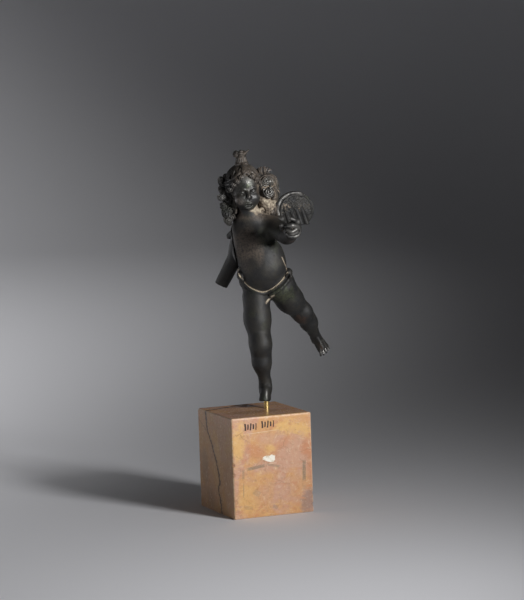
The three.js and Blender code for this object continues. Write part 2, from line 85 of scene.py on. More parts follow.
def cone(a, b, ra, rb=None, trim=None):
    # a straight limb with round ends, perhaps cut flat by a plane (normal, offset)
    rb = ra if rb is None else rb
    ab = b - a
    lengthSquared = max(float(ab @ ab), 1e-9)

    def distance(x, y, z):
        px, py, pz = x - a[0], y - a[1], z - a[2]
        t = np.clip((px * ab[0] + py * ab[1] + pz * ab[2]) / lengthSquared, 0, 1)
        away = np.sqrt((px - ab[0] * t) ** 2 + (py - ab[1] * t) ** 2 + (pz - ab[2] * t) ** 2)
        away -= ra + (rb - ra) * t
        if trim is None:
            return away
        normal, offset = trim
        return np.maximum(away, normal[0] * x + normal[1] * y + normal[2] * z + offset)

    reach = max(ra, rb)
    return np.minimum(a, b) - reach, np.maximum(a, b) + reach, distance


def egg(middle, radii, turn=np.eye(4)):
    # an ellipsoid in the frame of the part it belongs to
    inside = np.linalg.inv(turn)
    signs = np.array(list(np.ndindex(2, 2, 2))) * 2 - 1
    corners = (middle + signs * radii) @ turn[:3, :3].T + turn[:3, 3]

    def distance(x, y, z):
        local = [(r[0] * x + r[1] * y + r[2] * z + r[3] - m) / s for r, m, s in zip(inside, middle, radii)]
        scaled = np.sqrt(local[0] ** 2 + local[1] ** 2 + local[2] ** 2)
        slope = np.sqrt(sum((part / size) ** 2 for part, size in zip(local, radii)))
        return scaled * (scaled - 1) / np.maximum(slope, 1e-6)

    return corners.min(0), corners.max(0), distance


def smoothLine(points, steps):
    # equal steps along a smooth curve through the points
    points = np.array(points, float)
    ends = np.vstack((2 * points[0] - points[1], points, 2 * points[-1] - points[-2]))
    t = np.linspace(0, 1, 17)[:-1, None]  # sixteen places from one point to the next
    fine = []
    for p0, p1, p2, p3 in zip(ends, ends[1:], ends[2:], ends[3:]):
        d0, d1, d2 = (math.sqrt(lengthOf(b - a)) for a, b in ((p0, p1), (p1, p2), (p2, p3)))
        m1 = ((p1 - p0) / d0 - (p2 - p0) / (d0 + d1) + (p2 - p1) / d1) * d1
        m2 = ((p2 - p1) / d1 - (p3 - p1) / (d1 + d2) + (p3 - p2) / d2) * d1
        fine.append(p1 + m1 * t + (3 * (p2 - p1) - 2 * m1 - m2) * t**2 + (2 * (p1 - p2) + m1 + m2) * t**3)
    fine = np.vstack(fine + [points[-1:]])
    along = np.concatenate(([0], np.cumsum(np.linalg.norm(np.diff(fine, axis=0), axis=1))))
    wanted = np.linspace(0, along[-1], steps + 1)
    return np.stack([np.interp(wanted, along, fine[:, axis]) for axis in range(3)], 1)


def chain(line, root, tip):
    thick = np.linspace(root, tip, len(line))
    return [cone(a, b, ra, rb) for a, b, ra, rb in zip(line, line[1:], thick, thick[1:])]


def strand(points, root, tip, steps):
    return chain(smoothLine(points, steps), root, tip)


def frameAlong(start, end):
    # a frame in the middle between two points, with its z from one to the other
    turn = np.eye(4)
    turn[:3, 2] = unit(end - start)
    turn[:3, 0] = unit(np.cross(turn[:3, 2], at(0, 1, 0.3)))
    turn[:3, 1] = np.cross(turn[:3, 2], turn[:3, 0])
    turn[:3, 3] = (start + end) / 2
    return turn


def rolledLock(start, end, coil, thick, turns, threads=2, phase=0.0):
    # a ball of hair with ridges wound slantwise round it
    turn = frameAlong(start, end)
    half = lengthOf(end - start) / 2 + 0.35 * coil
    lock = [egg(at(0, 0, 0), at(coil * 0.9, coil * 0.9, half * 0.96), turn)]
    steps = round(turns * 10)
    for thread in range(threads):
        line = []
        for i in range(steps + 1):
            s = 2 * i / steps - 1
            angle = phase + (i / 10 + thread / threads) * 2 * math.pi
            wide = coil * (0.3 + 0.72 * math.sqrt(max(0, 1 - s * s)))
            wide *= 1 + 0.07 * math.sin(angle * 1.7 + 2 * thread) + 0.03 * math.sin(angle * 4.1)
            line.append(inFrame(turn, wide * math.cos(angle), wide * math.sin(angle), s * half * 0.93))
        lock += chain(line, thick * 0.85, thick * 1.1)
    return lock


def shellCurl(place, yaw, size, start, thick=0.4, slant=0, long=1.0):
    # a curl of hair seen from its side: arcs one inside the other over a low dome
    turn = turned(place, 0, slant, yaw)
    lock = [egg(at(0, 0.7, 0), at(size * 0.9 * long, 1.9, size * 0.9 / long), turn)]
    wide = size
    while wide > 0.3:
        line = []
        for i in range(15):  # most of a turn
            angle = math.radians(start + 21 * i)
            r = wide * (1 - 0.012 * i) * (1 + 0.05 * math.sin(3 * angle + 2 * wide))
            dome = 1.7 * math.sqrt(max(0, 1.05 - (r / size) ** 2))
            line.append(inFrame(turn, r * math.cos(angle) * long, -dome, r * math.sin(angle) / long))
        lock += chain(line, thick, thick * 0.85)
        wide -= 2.35 * thick
    return lock


class Clay:
    def __init__(self, spans):
        # spans: for each axis, stretches of the grid as (from, to, spacing)
        self.axes = []
        for span in spans:
            self.axes.append(np.concatenate([np.arange(low, high, step) for low, high, step in span]))
        self.field = np.full([len(axis) for axis in self.axes], 9, np.float32)  # all air, 9 mm from any clay
        self.margin = 2 * max(step for span in spans for low, high, step in span)

    def change(self, shapes, reach, join):
        for low, high, distance in shapes if isinstance(shapes, list) else [shapes]:
            first = [max(np.searchsorted(axis, v - reach) - 1, 0) for axis, v in zip(self.axes, low)]
            last = [np.searchsorted(axis, v + reach) + 1 for axis, v in zip(self.axes, high)]
            window = tuple(slice(f, l) for f, l in zip(first, last))
            x, y, z = np.ix_(*(axis[part] for axis, part in zip(self.axes, window)))
            self.field[window] = join(self.field[window], distance(x, y, z))

    def add(self, shapes, blend=0.6):
        def join(d, other):
            near = np.maximum(blend - np.abs(d - other), 0)
            return np.minimum(d, other) - near * near / (4 * blend)

        self.change(shapes, blend + self.margin, join)

    def cut(self, shapes, blend=0.4):
        def join(d, other):
            near = np.maximum(blend - np.abs(d + other), 0)
            return np.maximum(d, -other) + near * near / (4 * blend)

        self.change(shapes, blend + self.margin, join)

    def front(self, x, z):
        # the first clay met from the front
        i, k = (np.abs(self.axes[axis] - v).argmin() for axis, v in ((0, x), (2, z)))
        solid = self.field[i, :, k] < 0
        return at(x, self.axes[1][solid.argmax()], z) if solid.any() else None

    def skin(self):
        band = 3 * self.margin
        grid = openvdb.FloatGrid(band)
        grid.copyFromArray(np.clip(self.field, -band, band))
        corners, quads = grid.convertToQuads()
        corners, quads = np.array(corners, float), np.array(quads, int)
        places = [np.interp(corners[:, i], np.arange(len(axis)), axis) for i, axis in enumerate(self.axes)]
        points = np.stack(places, 1)
        triangles = np.vstack((quads[:, [0, 1, 2]], quads[:, [0, 2, 3]]))
        a, b, c = (points[triangles[:, corner]] for corner in range(3))
        if (np.cross(a, b) * c).sum() < 0:  # turned inside out
            triangles = triangles[:, ::-1]
        return largestBody(points, triangles)


def largestBody(points, triangles):
    # bubbles shut inside the clay fall away
    label = np.arange(len(points))
    edges = np.vstack([triangles[:, [i, (i + 1) % 3]] for i in range(3)])
    while True:
        ends = label[edges]
        lowest = ends.min(1)
        joined = label.copy()
        np.minimum.at(joined, ends[:, 0], lowest)
        np.minimum.at(joined, ends[:, 1], lowest)
        joined = joined[joined]
        if (joined == label).all():
            break
        label = joined
    kept = label == np.bincount(label).argmax()
    number = np.cumsum(kept) - 1
    return points[kept], number[triangles[kept[triangles[:, 0]]]]


def grain(points, size, seed):
    # smooth random heights from -1 to 1, that far apart
    lattice = np.random.default_rng(seed).uniform(-1, 1, (32, 32, 32))
    place = points / size
    cell = np.floor(place).astype(int)
    t = place - cell
    t = t * t * (3 - 2 * t)
    height = np.zeros(len(points))
    for corner in np.ndindex(2, 2, 2):
        weight = np.prod(np.where(corner, t, 1 - t), axis=1)
        i, j, k = ((cell + corner) % 32).T
        height += weight * lattice[i, j, k]
    return height


def ramp(value, low, high):
    t = np.clip((value - low) / (high - low), 0, 1)
    return t * t * (3 - 2 * t)


def meshOf(name, points, triangles):
    mesh = bpy.data.meshes.new(name)
    mesh.vertices.add(len(points))
    mesh.vertices.foreach_set("co", (points / metre).astype(np.float32).ravel())
    mesh.loops.add(triangles.size)
    mesh.loops.foreach_set("vertex_index", triangles.astype(np.int32).ravel())
    mesh.polygons.add(len(triangles))
    mesh.polygons.foreach_set("loop_start", np.arange(0, triangles.size, 3, dtype=np.int32))
    mesh.update(calc_edges=True)
    mesh.shade_smooth()
    return mesh


def link(name, mesh):
    piece = bpy.data.objects.new(name, mesh)
    bpy.context.scene.collection.objects.link(piece)
    return piece


def applied(piece):
    # the piece with its modifiers made real
    made = bpy.data.meshes.new_from_object(piece.evaluated_get(bpy.context.evaluated_depsgraph_get()))
    piece.modifiers.clear()
    piece.data = made
    return piece


def thinned(piece, faces):
    if len(piece.data.polygons) > faces:
        piece.modifiers.new("thin", "DECIMATE").ratio = faces / len(piece.data.polygons)
        applied(piece)
    return piece


def pointsOf(mesh, what="co"):
    values = np.zeros(len(mesh.vertices) * 3, np.float32)
    if what == "co":
        mesh.vertices.foreach_get("co", values)
    else:
        mesh.vertex_normals.foreach_get("vector", values)
    return values.reshape(-1, 3).astype(float)


def relief(mesh, height):
    # moves each vertex out by so many mm
    points = pointsOf(mesh) + pointsOf(mesh, "normal") * height[:, None] / metre
    mesh.vertices.foreach_set("co", points.astype(np.float32).ravel())
    mesh.update()


def curvature(mesh, rounds):
    # how far each vertex stands out of its smoothed surroundings, in mm
    edges = np.zeros(len(mesh.edges) * 2, np.int32)
    mesh.edges.foreach_get("vertices", edges)
    edges = edges.reshape(-1, 2)
    ends, others = np.concatenate((edges[:, 0], edges[:, 1])), np.concatenate((edges[:, 1], edges[:, 0]))
    count = len(mesh.vertices)
    neighbours = np.maximum(np.bincount(ends, minlength=count), 1)
    points = pointsOf(mesh)
    smooth = points.copy()
    for _ in range(rounds):
        smooth = np.stack([np.bincount(ends, smooth[others, a], count) / neighbours for a in range(3)], 1)
    return ((points - smooth) * pointsOf(mesh, "normal")).sum(1) * metre


def write(mesh, **values):
    for name, value in values.items():
        attribute = mesh.attributes.new(name, "FLOAT", "POINT")
        attribute.data.foreach_set("value", value.astype(np.float32))


# The figurine, in mm from the pin's axis at the block's top: x to the figure's left, y to its back
body = {
    "foot": at(8.1, 2.7, 50),  # where that point is on the block
    "turn": -22,  # degrees about the pin
    "coarse": 0.32,  # spacing of the clay's grid
    "fine": 0.2,
    "triangles": 196000,
    "rightHip": at(-3.3, 1.5, 56),
    "rightThigh": at(-3.1, 0, 45),
    "rightKnee": at(-1.9, -1.6, 32.4),
    "rightShin": at(-1.6, -0.4, 23),
    "rightAnkle": at(-0.2, 2.4, 12.6),
    "leftHip": at(8.8, 3, 61),
    "leftThigh": at(13.4, 8.6, 53.6),
    "leftKnee": at(19.7, 14.6, 46),
    "leftShin": at(23.1, 20, 40.3),
    "leftAnkle": at(26.2, 27.3, 32.2),
    "leftHeel": at(25.9, 30.6, 29.8),
    "rightShoulder": at(-9.4, -1.5, 91.4),
    "rightElbow": at(-13.2, 6.4, 75.6),
    "rightWrist": at(-22.6, 13, 58.6),
    "leftShoulder": at(4.2, -3, 92.0),
    "leftElbow": at(12.9, -17, 88.3),
    "leftWrist": at(14.8, -28.6, 89.4),
    "neck": at(-3.8, -3, 95),
    "throat": at(-6.2, -6.5, 103),
    "pinHole": 1.6,  # radius
    "pinTop": 7.9,  # how high the hole for the pin goes
}
rough = np.random.default_rng(7)  # for every chip, pit and stray lock


def turned(middle, x=0, y=0, z=0):
    turn = np.eye(4)
    turn[:3, :3] = np.array(Euler([math.radians(a) for a in (x, y, z)], "XYZ").to_matrix())
    turn[:3, 3] = middle
    return turn


headFrame = turned(at(-7.7, -5.5, 113.6), 7, -5, 13)  # x to its left, y to its back, z to its crown
wingFrame = turned(at(17.8, 9, 98.8), 0, 0, 24)  # x to its tip, y to its back


def inFrame(turn, x, y, z):
    return turn[:3, :3] @ at(x, y, z) + turn[:3, 3]


def onHead(x, y, z):
    return inFrame(headFrame, x, y, z)


def onWing(x, y, z):
    return inFrame(wingFrame, x, y, z)


def modelTorso(clay):
    clay.add(egg(at(1.6, 3.0, 64.4), at(13.3, 9.0, 8.6)), 2)
    clay.add(egg(at(0.6, -1.0, 72.2), at(11.7, 9.3, 12.2)), 2)
    clay.add(egg(at(-2.1, -0.6, 78.6), at(12.2, 7.9, 9)), 3)
    clay.add(egg(at(-3.8, -2.6, 88), at(10.8, 8.4, 8.6)), 3)
    clay.add(cone(body["rightShoulder"], body["leftShoulder"], 4.7, 5.3), 3)
    clay.add(egg(at(-10.3, -1.4, 67.4), at(2.3, 3.6, 2.8)), 0.8)  # right hip
    clay.add(egg(at(13.2, -1.2, 68.0), at(2.2, 3.4, 2.4)), 0.8)  # left hip
    for side in (-1, 1):
        clay.add(egg(at(1.8 + side * 5.6, 6.4, 62), at(6.2, 6.0, 6.4)), 2)  # seat
        clay.add(egg(at(-4.0 + side * 4.6, -6.6, 89.4), at(4.6, 2.8, 4.0)), 3)  # breast
        clay.add(egg(at(-4.0 + side * 5.4, 4.2, 87.6), at(3.4, 1.8, 4.6)), 2.2)  # shoulder blade
    clay.cut(cone(at(-1.8, 9.6, 92), at(1.6, 13.8, 61), 0.5, 0.7), 2.4)  # hollow of the back
    clay.cut(cone(at(1.7, 12.6, 64.5), at(2.0, 11.0, 57), 0.3, 0.3), 1.4)
    clay.add(cone(body["neck"], body["throat"], 5.0, 4.4), 2.5)
    clay.add(egg(at(-4.6, -4.8, 95.2), at(7.4, 4.4, 4.0)), 3)  # collar, close under the chin


def modelLegs(clay):
    b = body
    clay.add(cone(b["rightHip"], b["rightThigh"], 7.0, 6.4), 2)
    clay.add(cone(b["rightThigh"], b["rightKnee"], 6.4, 5.3), 3)
    clay.add(cone(b["rightKnee"], b["rightShin"], 5.2, 4.3), 3)
    clay.add(egg(at(-1.7, 2.0, 26.4), at(4.6, 4.5, 7.8)), 3)  # calf
    clay.add(cone(b["rightShin"], b["rightAnkle"], 4.1, 2.8), 2.5)
    clay.add(egg(at(-1.8, -4.8, 33.2), at(3.3, 2.0, 4.2)), 3)  # kneecap
    # the standing foot: an almost straight stump, broken off flat below
    flat = (at(0, 0, -1), 4.1)
    clay.add(cone(b["rightAnkle"], at(-0.4, 0.6, 4.0), 2.75, 2.8, flat), 2)
    clay.add(cone(at(-0.4, 3.4, 9.0), at(-0.5, 3.0, 4.4), 2.2, 2.4, flat), 1.6)
    clay.add(cone(at(-0.4, -0.8, 9.0), at(-1.0, -2.2, 4.2), 2.2, 2.7, flat), 1.6)
    for _ in range(9):  # pits in the break
        spot = rough.uniform((-3.2, -4.4, 3.6), (2.0, 4.6, 4.0))
        clay.cut(egg(spot, rough.uniform(0.3, 0.7, 3)), 0.2)
    clay.add(cone(b["leftHip"], b["leftThigh"], 8.0, 6.5), 2)
    clay.add(cone(b["leftThigh"], b["leftKnee"], 6.5, 4.9), 3)
    clay.add(cone(b["leftKnee"], b["leftShin"], 4.8, 4.0), 3)
    clay.add(egg(at(22.0, 21.0, 42.4), at(4.1, 4.6, 5.6)), 1.5)  # calf
    clay.add(cone(b["leftShin"], b["leftAnkle"], 3.9, 2.5), 2.5)
    clay.add(egg(at(21.0, 11.2, 46.8), at(3.2, 2.4, 3.4)), 3)  # kneecap
    clay.add(cone(b["leftAnkle"], b["leftHeel"], 2.3, 1.9), 1)
    # the raised foot spreads like a fan from the ankle
    for ball in (at(28.7, 27.2, 25.3), at(29.9, 27.4, 26.1), at(30.9, 28.2, 27.1)):
        clay.add(cone(b["leftAnkle"], ball, 2.4, 1.75), 0.9)
    clay.add(cone(at(27.2, 25.0, 31.6), at(29.9, 25.6, 26.6), 1.0, 0.7), 0.8)  # instep
    for side in (-1, 1):  # ankle bones of the standing foot
        clay.add(egg(at(-0.2 + side * 2.1, 1.4, 9.8), at(1.0, 1.3, 2.2)), 1.6)


toes = {
    "thick": 0.58,
    "places": (  # root and tip of each, the big toe first
        ((28.4, 26.2, 24.6), (28.6, 25.8, 22.6)),
        ((29.9, 25.9, 25.0), (30.2, 25.6, 22.9)),
        ((31.0, 26.4, 25.8), (31.6, 26.2, 23.7)),
        ((31.9, 27.1, 26.6), (32.6, 27.0, 24.8)),
        ((32.5, 28.0, 27.4), (33.2, 28.0, 25.8)),
    ),
}


def modelToes(clay):
    for i, (root, tip) in enumerate(toes["places"]):
        wide = toes["thick"] * (1.25 if i == 0 else 1 - 0.06 * i)
        clay.add(cone(at(*root), at(*tip), wide, wide * 0.9), 0.1)


def modelArms(clay):
    b = body
    clay.add(cone(b["rightShoulder"], b["rightElbow"], 4.4, 3.9), 1)
    # the right forearm is broken off square to this direction, at this point
    along, middle = unit(at(-0.46, 0.06, -0.89)), at(-21, 11.8, 61.7)
    flat = (along, -float(along @ middle))
    clay.add(cone(b["rightElbow"], b["rightWrist"] + at(-1.4, 1.2, -2.6), 3.9, 3.1, flat), 0.6)
    for _ in range(14):  # pits in the break
        pit = middle + rough.normal(0, 1.2, 3) * (1 - np.abs(along)) + along * 0.2
        clay.cut(egg(pit, rough.uniform(0.3, 0.7, 3)), 0.15)
    clay.add(cone(b["leftShoulder"], b["leftElbow"], 5.2, 4.9), 2)
    clay.add(cone(b["leftElbow"], b["leftWrist"], 4.6, 3.2), 1.5)


drawn = {  # lines drawn on the front of the body, as x and z
    "gap": (
        ((-14.6, 92), (-14.3, 90.2), (-14, 86.4), (-13.4, 82.4))
        + ((-12.6, 77.4), (-11.9, 73), (-11.5, 70.4))
    ),
    "crease": ((-11.6, 68.4), (-9.6, 65.4), (-6, 61.6), (0.2, 59), (5, 60.6), (9.6, 64.2), (12.8, 68.2)),
    "flank": ((12.4, 69.6), (12.0, 71.2), (11.4, 72.8), (10.7, 74.6), (10.0, 76.2)),
    "deposit": ((5.4, 57.2), (4.2, 56.2), (3.0, 55.0), (1.4, 53.4)),
}


def onFront(clay, points):
    line = [clay.front(p[0], p[2]) for p in points]
    return [p for p in line if p is not None]


def draw(clay, name, steps):
    return onFront(clay, smoothLine([at(x, 0, z) for x, z in drawn[name]], steps))


def modelGap(clay):
    # the narrow gap between the figure's right side and its arm
    line = draw(clay, "gap", 26)
    for deep in (0.2, 0.9, 1.6):
        clay.cut(chain([p + at(0.1, deep, 0) for p in line], 0.5, 0.5), 0.12)
    # its line at three depths, along which a painted shadow goes
    return [p + at(0, deep, 0) for p in line for deep in (0, 0.9, 1.8)]


fingers = {  # how thick each is at the root and at the tip, and its joints
    "outer": (
        1.3,
        0.95,
        ((12.4, -38.2, 94.0), (15.2, -38.5, 94.1), (17.9, -36.5, 93.2), (18.9, -34.2, 91.0))
        + ((17.4, -35.0, 88.8), (14.8, -36.4, 88.5), (12.5, -37.0, 89.8)),
    ),
    "middle": (1.1, 0.8, ((18.2, -34.6, 92.4), (17.0, -37.0, 91.9), (15.0, -38.3, 91), (12.8, -38.0, 91.6))),
    "last": (1.05, 0.8, ((18.0, -33.2, 89.6), (17.4, -36.0, 90.6), (15.4, -37.6, 89.9), (13.8, -37.6, 90.2))),
    "index": (1.5, 0.85, ((18.4, -32.6, 93.8), (17.8, -35.4, 95.6), (16.3, -37.5, 96.8), (14.9, -38.3, 97.3))),
    "thumb": (1.6, 0.95, ((12.6, -29.6, 91.6), (11, -32.6, 92.4), (10.4, -35.6, 93.6), (10.2, -37.7, 94.2))),
}


def modelFist(clay):
    # fingers curled one inside the other round a hollow where something was once held
    clay.add(egg(at(15.6, -31.4, 91.4), at(3.5, 3.9, 4.4)), 1.4)  # back of the hand
    clay.add(egg(at(14.6, -35.2, 91.2), at(3.4, 2.6, 3.3)), 1.2)  # palm
    for root, tip, joints in fingers.values():
        clay.add(strand([at(*p) for p in joints], root, tip, 22), 0.14)
        clay.add(egg(at(*joints[1]), at(root, root, root) * 1.05), 0.35)  # knuckle
        end, before = at(*joints[-1]), at(*joints[-2])
        nail = end + unit(end - before) * tip * 0.2 + at(-0.15, -0.3, 0.35) * tip
        clay.add(egg(nail, at(0.5, 0.45, 0.45)), 0.05)
    for x, z in ((18.2, 92.3), (18.9, 92.3), (18.6, 90.4), (17.6, 90.4)):  # knuckles on the back of the hand
        clay.add(egg(at(x, -31.2, z), at(1.1, 1.2, 0.9)), 0.7)
    clay.cut(strand([at(11.4, -39.4, 94.9), at(13.0, -36.2, 95.9), at(14.0, -33.6, 97.2)], 1.0, 1.7, 6), 0.3)
    clay.cut(egg(at(13.2, -38.6, 92.9), at(1.5, 1.0, 0.5)), 0.25)


def modelFace(clay):
    def part(x, y, z, rx, ry, rz):
        return egg(at(x, y, z), at(rx, ry, rz), headFrame)

    clay.add(part(0, 0.6, 0, 7.6, 8.8, 8.6), 1.5)  # skull
    clay.add(part(0, -3.2, -4.8, 6.4, 5.9, 7.4), 2)
    clay.add(part(0, -3.4, 0.6, 6.7, 5.6, 5.6), 2)  # forehead
    clay.add(part(0, -4.8, -8.2, 5.3, 4.5, 3.9), 1.5)  # jaw
    clay.add(part(0, -7.9, -10.7, 1.9, 1.4, 1.2), 1.2)  # chin
    for side in (-1, 1):
        clay.add(part(side * 3.3, -6.2, -6.6, 2.9, 2.8, 3.0), 1.6)  # cheek
        clay.cut(part(side * 2.75, -9.5, -3.1, 1.9, 1.5, 1.15), 1.0)  # eye socket
        clay.add(part(side * 2.7, -7.4, -3.1, 1.45, 1.15, 0.95), 0.1)  # eye
        brow = [onHead(side * 0.9, -8.8, -2), onHead(side * 2.8, -8.6, -1.2), onHead(side * 4.8, -7, -2)]
        clay.add(strand(brow, 0.36, 0.26, 8), 0.6)
        corner, outer = onHead(side * 1.35, -7.95, -3.4), onHead(side * 4.15, -7.25, -3.3)
        upper = [corner, onHead(side * 2.0, -8.65, -2.4), onHead(side * 3.2, -8.5, -2.25), outer]
        lower = [corner, onHead(side * 2.2, -8.4, -4.1), onHead(side * 3.3, -8.15, -4.05), outer]
        clay.add(strand(upper, 0.24, 0.22, 10), 0.12)
        clay.add(strand(lower, 0.17, 0.17, 10), 0.15)
        clay.add(part(side * 1.0, -9.35, -5.75, 0.62, 0.75, 0.5), 0.25)  # wing of the nose
        clay.cut(part(side * 0.5, -9.9, -6.25, 0.28, 0.4, 0.22), 0.15)  # nostril
        clay.cut(part(side * 2.15, -8.5, -8.3, 0.3, 0.3, 0.25), 0.4)  # corner of the mouth
    clay.add(cone(onHead(0, -8.7, -2.2), onHead(0, -10.0, -5.2), 0.62, 0.85), 0.6)  # nose
    clay.add(part(0, -10.0, -5.5, 0.9, 0.8, 0.65), 0.4)
    clay.cut(cone(onHead(0, -9.3, -6.7), onHead(0, -9.3, -7.3), 0.2), 0.5)  # groove above the lip
    upper = [onHead(x, y, z) for x, y, z in ((-1.95, -8.3, -8.2), (-0.8, -8.95, -7.75), (0, -9.0, -7.9))]
    upper += [onHead(x, y, z) for x, y, z in ((0.8, -8.95, -7.75), (1.95, -8.3, -8.2))]
    lower = [onHead(-1.5, -8.35, -8.5), onHead(0, -8.95, -8.95), onHead(1.5, -8.35, -8.5)]
    clay.add(strand(upper, 0.27, 0.27, 12), 0.3)
    clay.add(strand(lower, 0.34, 0.34, 10), 0.35)
    between = [onHead(-2.0, -8.75, -8.3), onHead(0, -9.5, -8.3), onHead(2.0, -8.75, -8.3)]
    clay.cut(strand(between, 0.1, 0.1, 10), 0.18)
    under = [onHead(-1.1, -8.9, -9.6), onHead(0, -9.2, -9.75), onHead(1.1, -8.9, -9.6)]
    clay.cut(strand(under, 0.2, 0.2, 6), 0.7)


hair = {
    "locks": 24,
    "arches": 4,  # locks that follow the brow on each side of the plait
    "browCurls": 12,
    "plait": 9,
    "knot": 16,  # locks in the neck of the topknot
    "tuft": 8,  # locks that stand up over the curls on the left
    "column": (  # curls down the right side, as x and z
        ((-15.2, 116.4), (-18.0, 114.2), (-14.6, 112.4), (-18.2, 110.4), (-14.8, 108.6), (-18.4, 106.6))
        + ((-14.8, 104.6), (-17.8, 102.6), (-14.2, 100.6), (-16.8, 98.8), (-14.6, 96.8), (-16.0, 94.8))
    ),
    "waves": 6,  # between the column and the face
    "lumps": 90,  # in the hair beside the neck
    "nape": 8,
}


def onSkull(around, down, lift):
    # a place over the skull: around from the face, down from the crown, lifted by so many mm
    level = math.sin(down)
    x, y, z = 8.1 + lift, 9.2 + lift, 9.0 + lift
    return onHead(x * level * math.sin(around), 0.6 - y * level * math.cos(around), z * math.cos(down))


def hairLine(around):
    # how far down the hair comes, in degrees from the crown: it arches over the brow
    return 45 + 63 * abs(math.sin(around)) ** 1.1 if math.cos(around) > 0 else 108


def modelLocks(clay):
    # locks combed from the topknot down to the brow, the temples and the nape, two threads on each
    for i in range(hair["locks"]):
        around = (i + 0.5) / hair["locks"] * 2 * math.pi  # 0 is the face's side
        low = hairLine(around)
        downs = [math.radians(12 + (low - 12) * k / 5) for k in range(6)]
        waves = [0.09 * math.sin(k * 1.7 + i) for k in range(6)]
        clay.add(strand([onSkull(around + w, d, 0) for d, w in zip(downs, waves)], 0.8, 1.05, 8), 0.25)
        for thread in (-0.07, 0.07):
            line = [onSkull(around + w + thread, d, 0.62) for d, w in zip(downs, waves)]
            clay.add(strand(line, 0.3, 0.56, 12), 0.05)
    for side in (-1, 1):
        for j in range(hair["arches"]):
            line = []
            for k in range(9):
                around = math.radians(7 + 11 * k)
                down = math.radians(hairLine(around) - 2 - 8.4 * j + 1.5 * math.sin(k * 1.3 + j))
                line.append(onSkull(side * around, down, 0.8 + 0.12 * math.sin(k * 1.9 + 2 * j)))
            clay.add(strand(line, 0.6, 0.66, 18), 0.05)
    for k in range(hair["browCurls"]):
        around = math.radians(-71.5 + 13 * k)
        down = math.radians(hairLine(around) - 3 + 2 * math.sin(k * 2.1))
        start, end = onSkull(around - 0.08, down - 0.05, 1.0), onSkull(around + 0.08, down + 0.05, 1.0)
        clay.add(rolledLock(start, end, 1.15, 0.3, 1.5, 2, k), 0.06)
    for i in range(hair["plait"]):  # plait from the brow to the topknot
        down = math.radians(54 - i * 5.2)
        for side in (-1, 1):
            start = onSkull(side * 0.15, down + 0.03, 1.3)
            clay.add(cone(start, onSkull(-side * 0.02, down - 0.07, 1.7), 0.78, 0.6), 0.06)


def modelTopknot(clay):
    # a bound neck of hair with three lobes and a loose tip
    clay.add(cone(onHead(0, 0, 8.4), onHead(-0.1, 0, 13.4), 2.7, 2.3), 0.6)
    for i in range(hair["knot"]):
        angle = i / hair["knot"] * 2 * math.pi
        line = []
        for r, twist, z in ((3.0, 0, 8.2), (2.6, 0.2, 10.6), (2.3, 0.5, 13.0)):
            line.append(onHead(r * math.cos(angle + twist), r * math.sin(angle + twist), z))
        clay.add(strand(line, 0.45, 0.35, 6), 0.1)
    for z in (9.4, 10.1):  # the two rings of its band
        ring = [onHead(3.05 * math.cos(a), 3.05 * math.sin(a), z) for a in np.linspace(0, 2 * math.pi, 17)]
        clay.add(chain(ring, 0.38, 0.38), 0.1)
    clay.add(rolledLock(onHead(-2.7, 0.2, 13.9), onHead(-1.7, 0.2, 15.7), 1.45, 0.42, 2), 0.12)
    clay.add(rolledLock(onHead(-0.5, -1.4, 14.1), onHead(0.2, -1.0, 16.2), 1.25, 0.4, 1.5), 0.12)
    clay.add(rolledLock(onHead(1.2, 0.4, 13.9), onHead(2.2, 0.4, 15.4), 1.2, 0.4, 1.5), 0.12)
    tip = [onHead(0.4, -1.6, 14.3), onHead(2.2, -0.8, 15.1), onHead(4.3, 0.3, 16.2)]
    clay.add(strand(tip, 0.75, 0.35, 8), 0.12)
    clay.cut(egg(onHead(0.9, 0.0, 16.4), at(0.8, 1.2, 1.3)), 0.3)


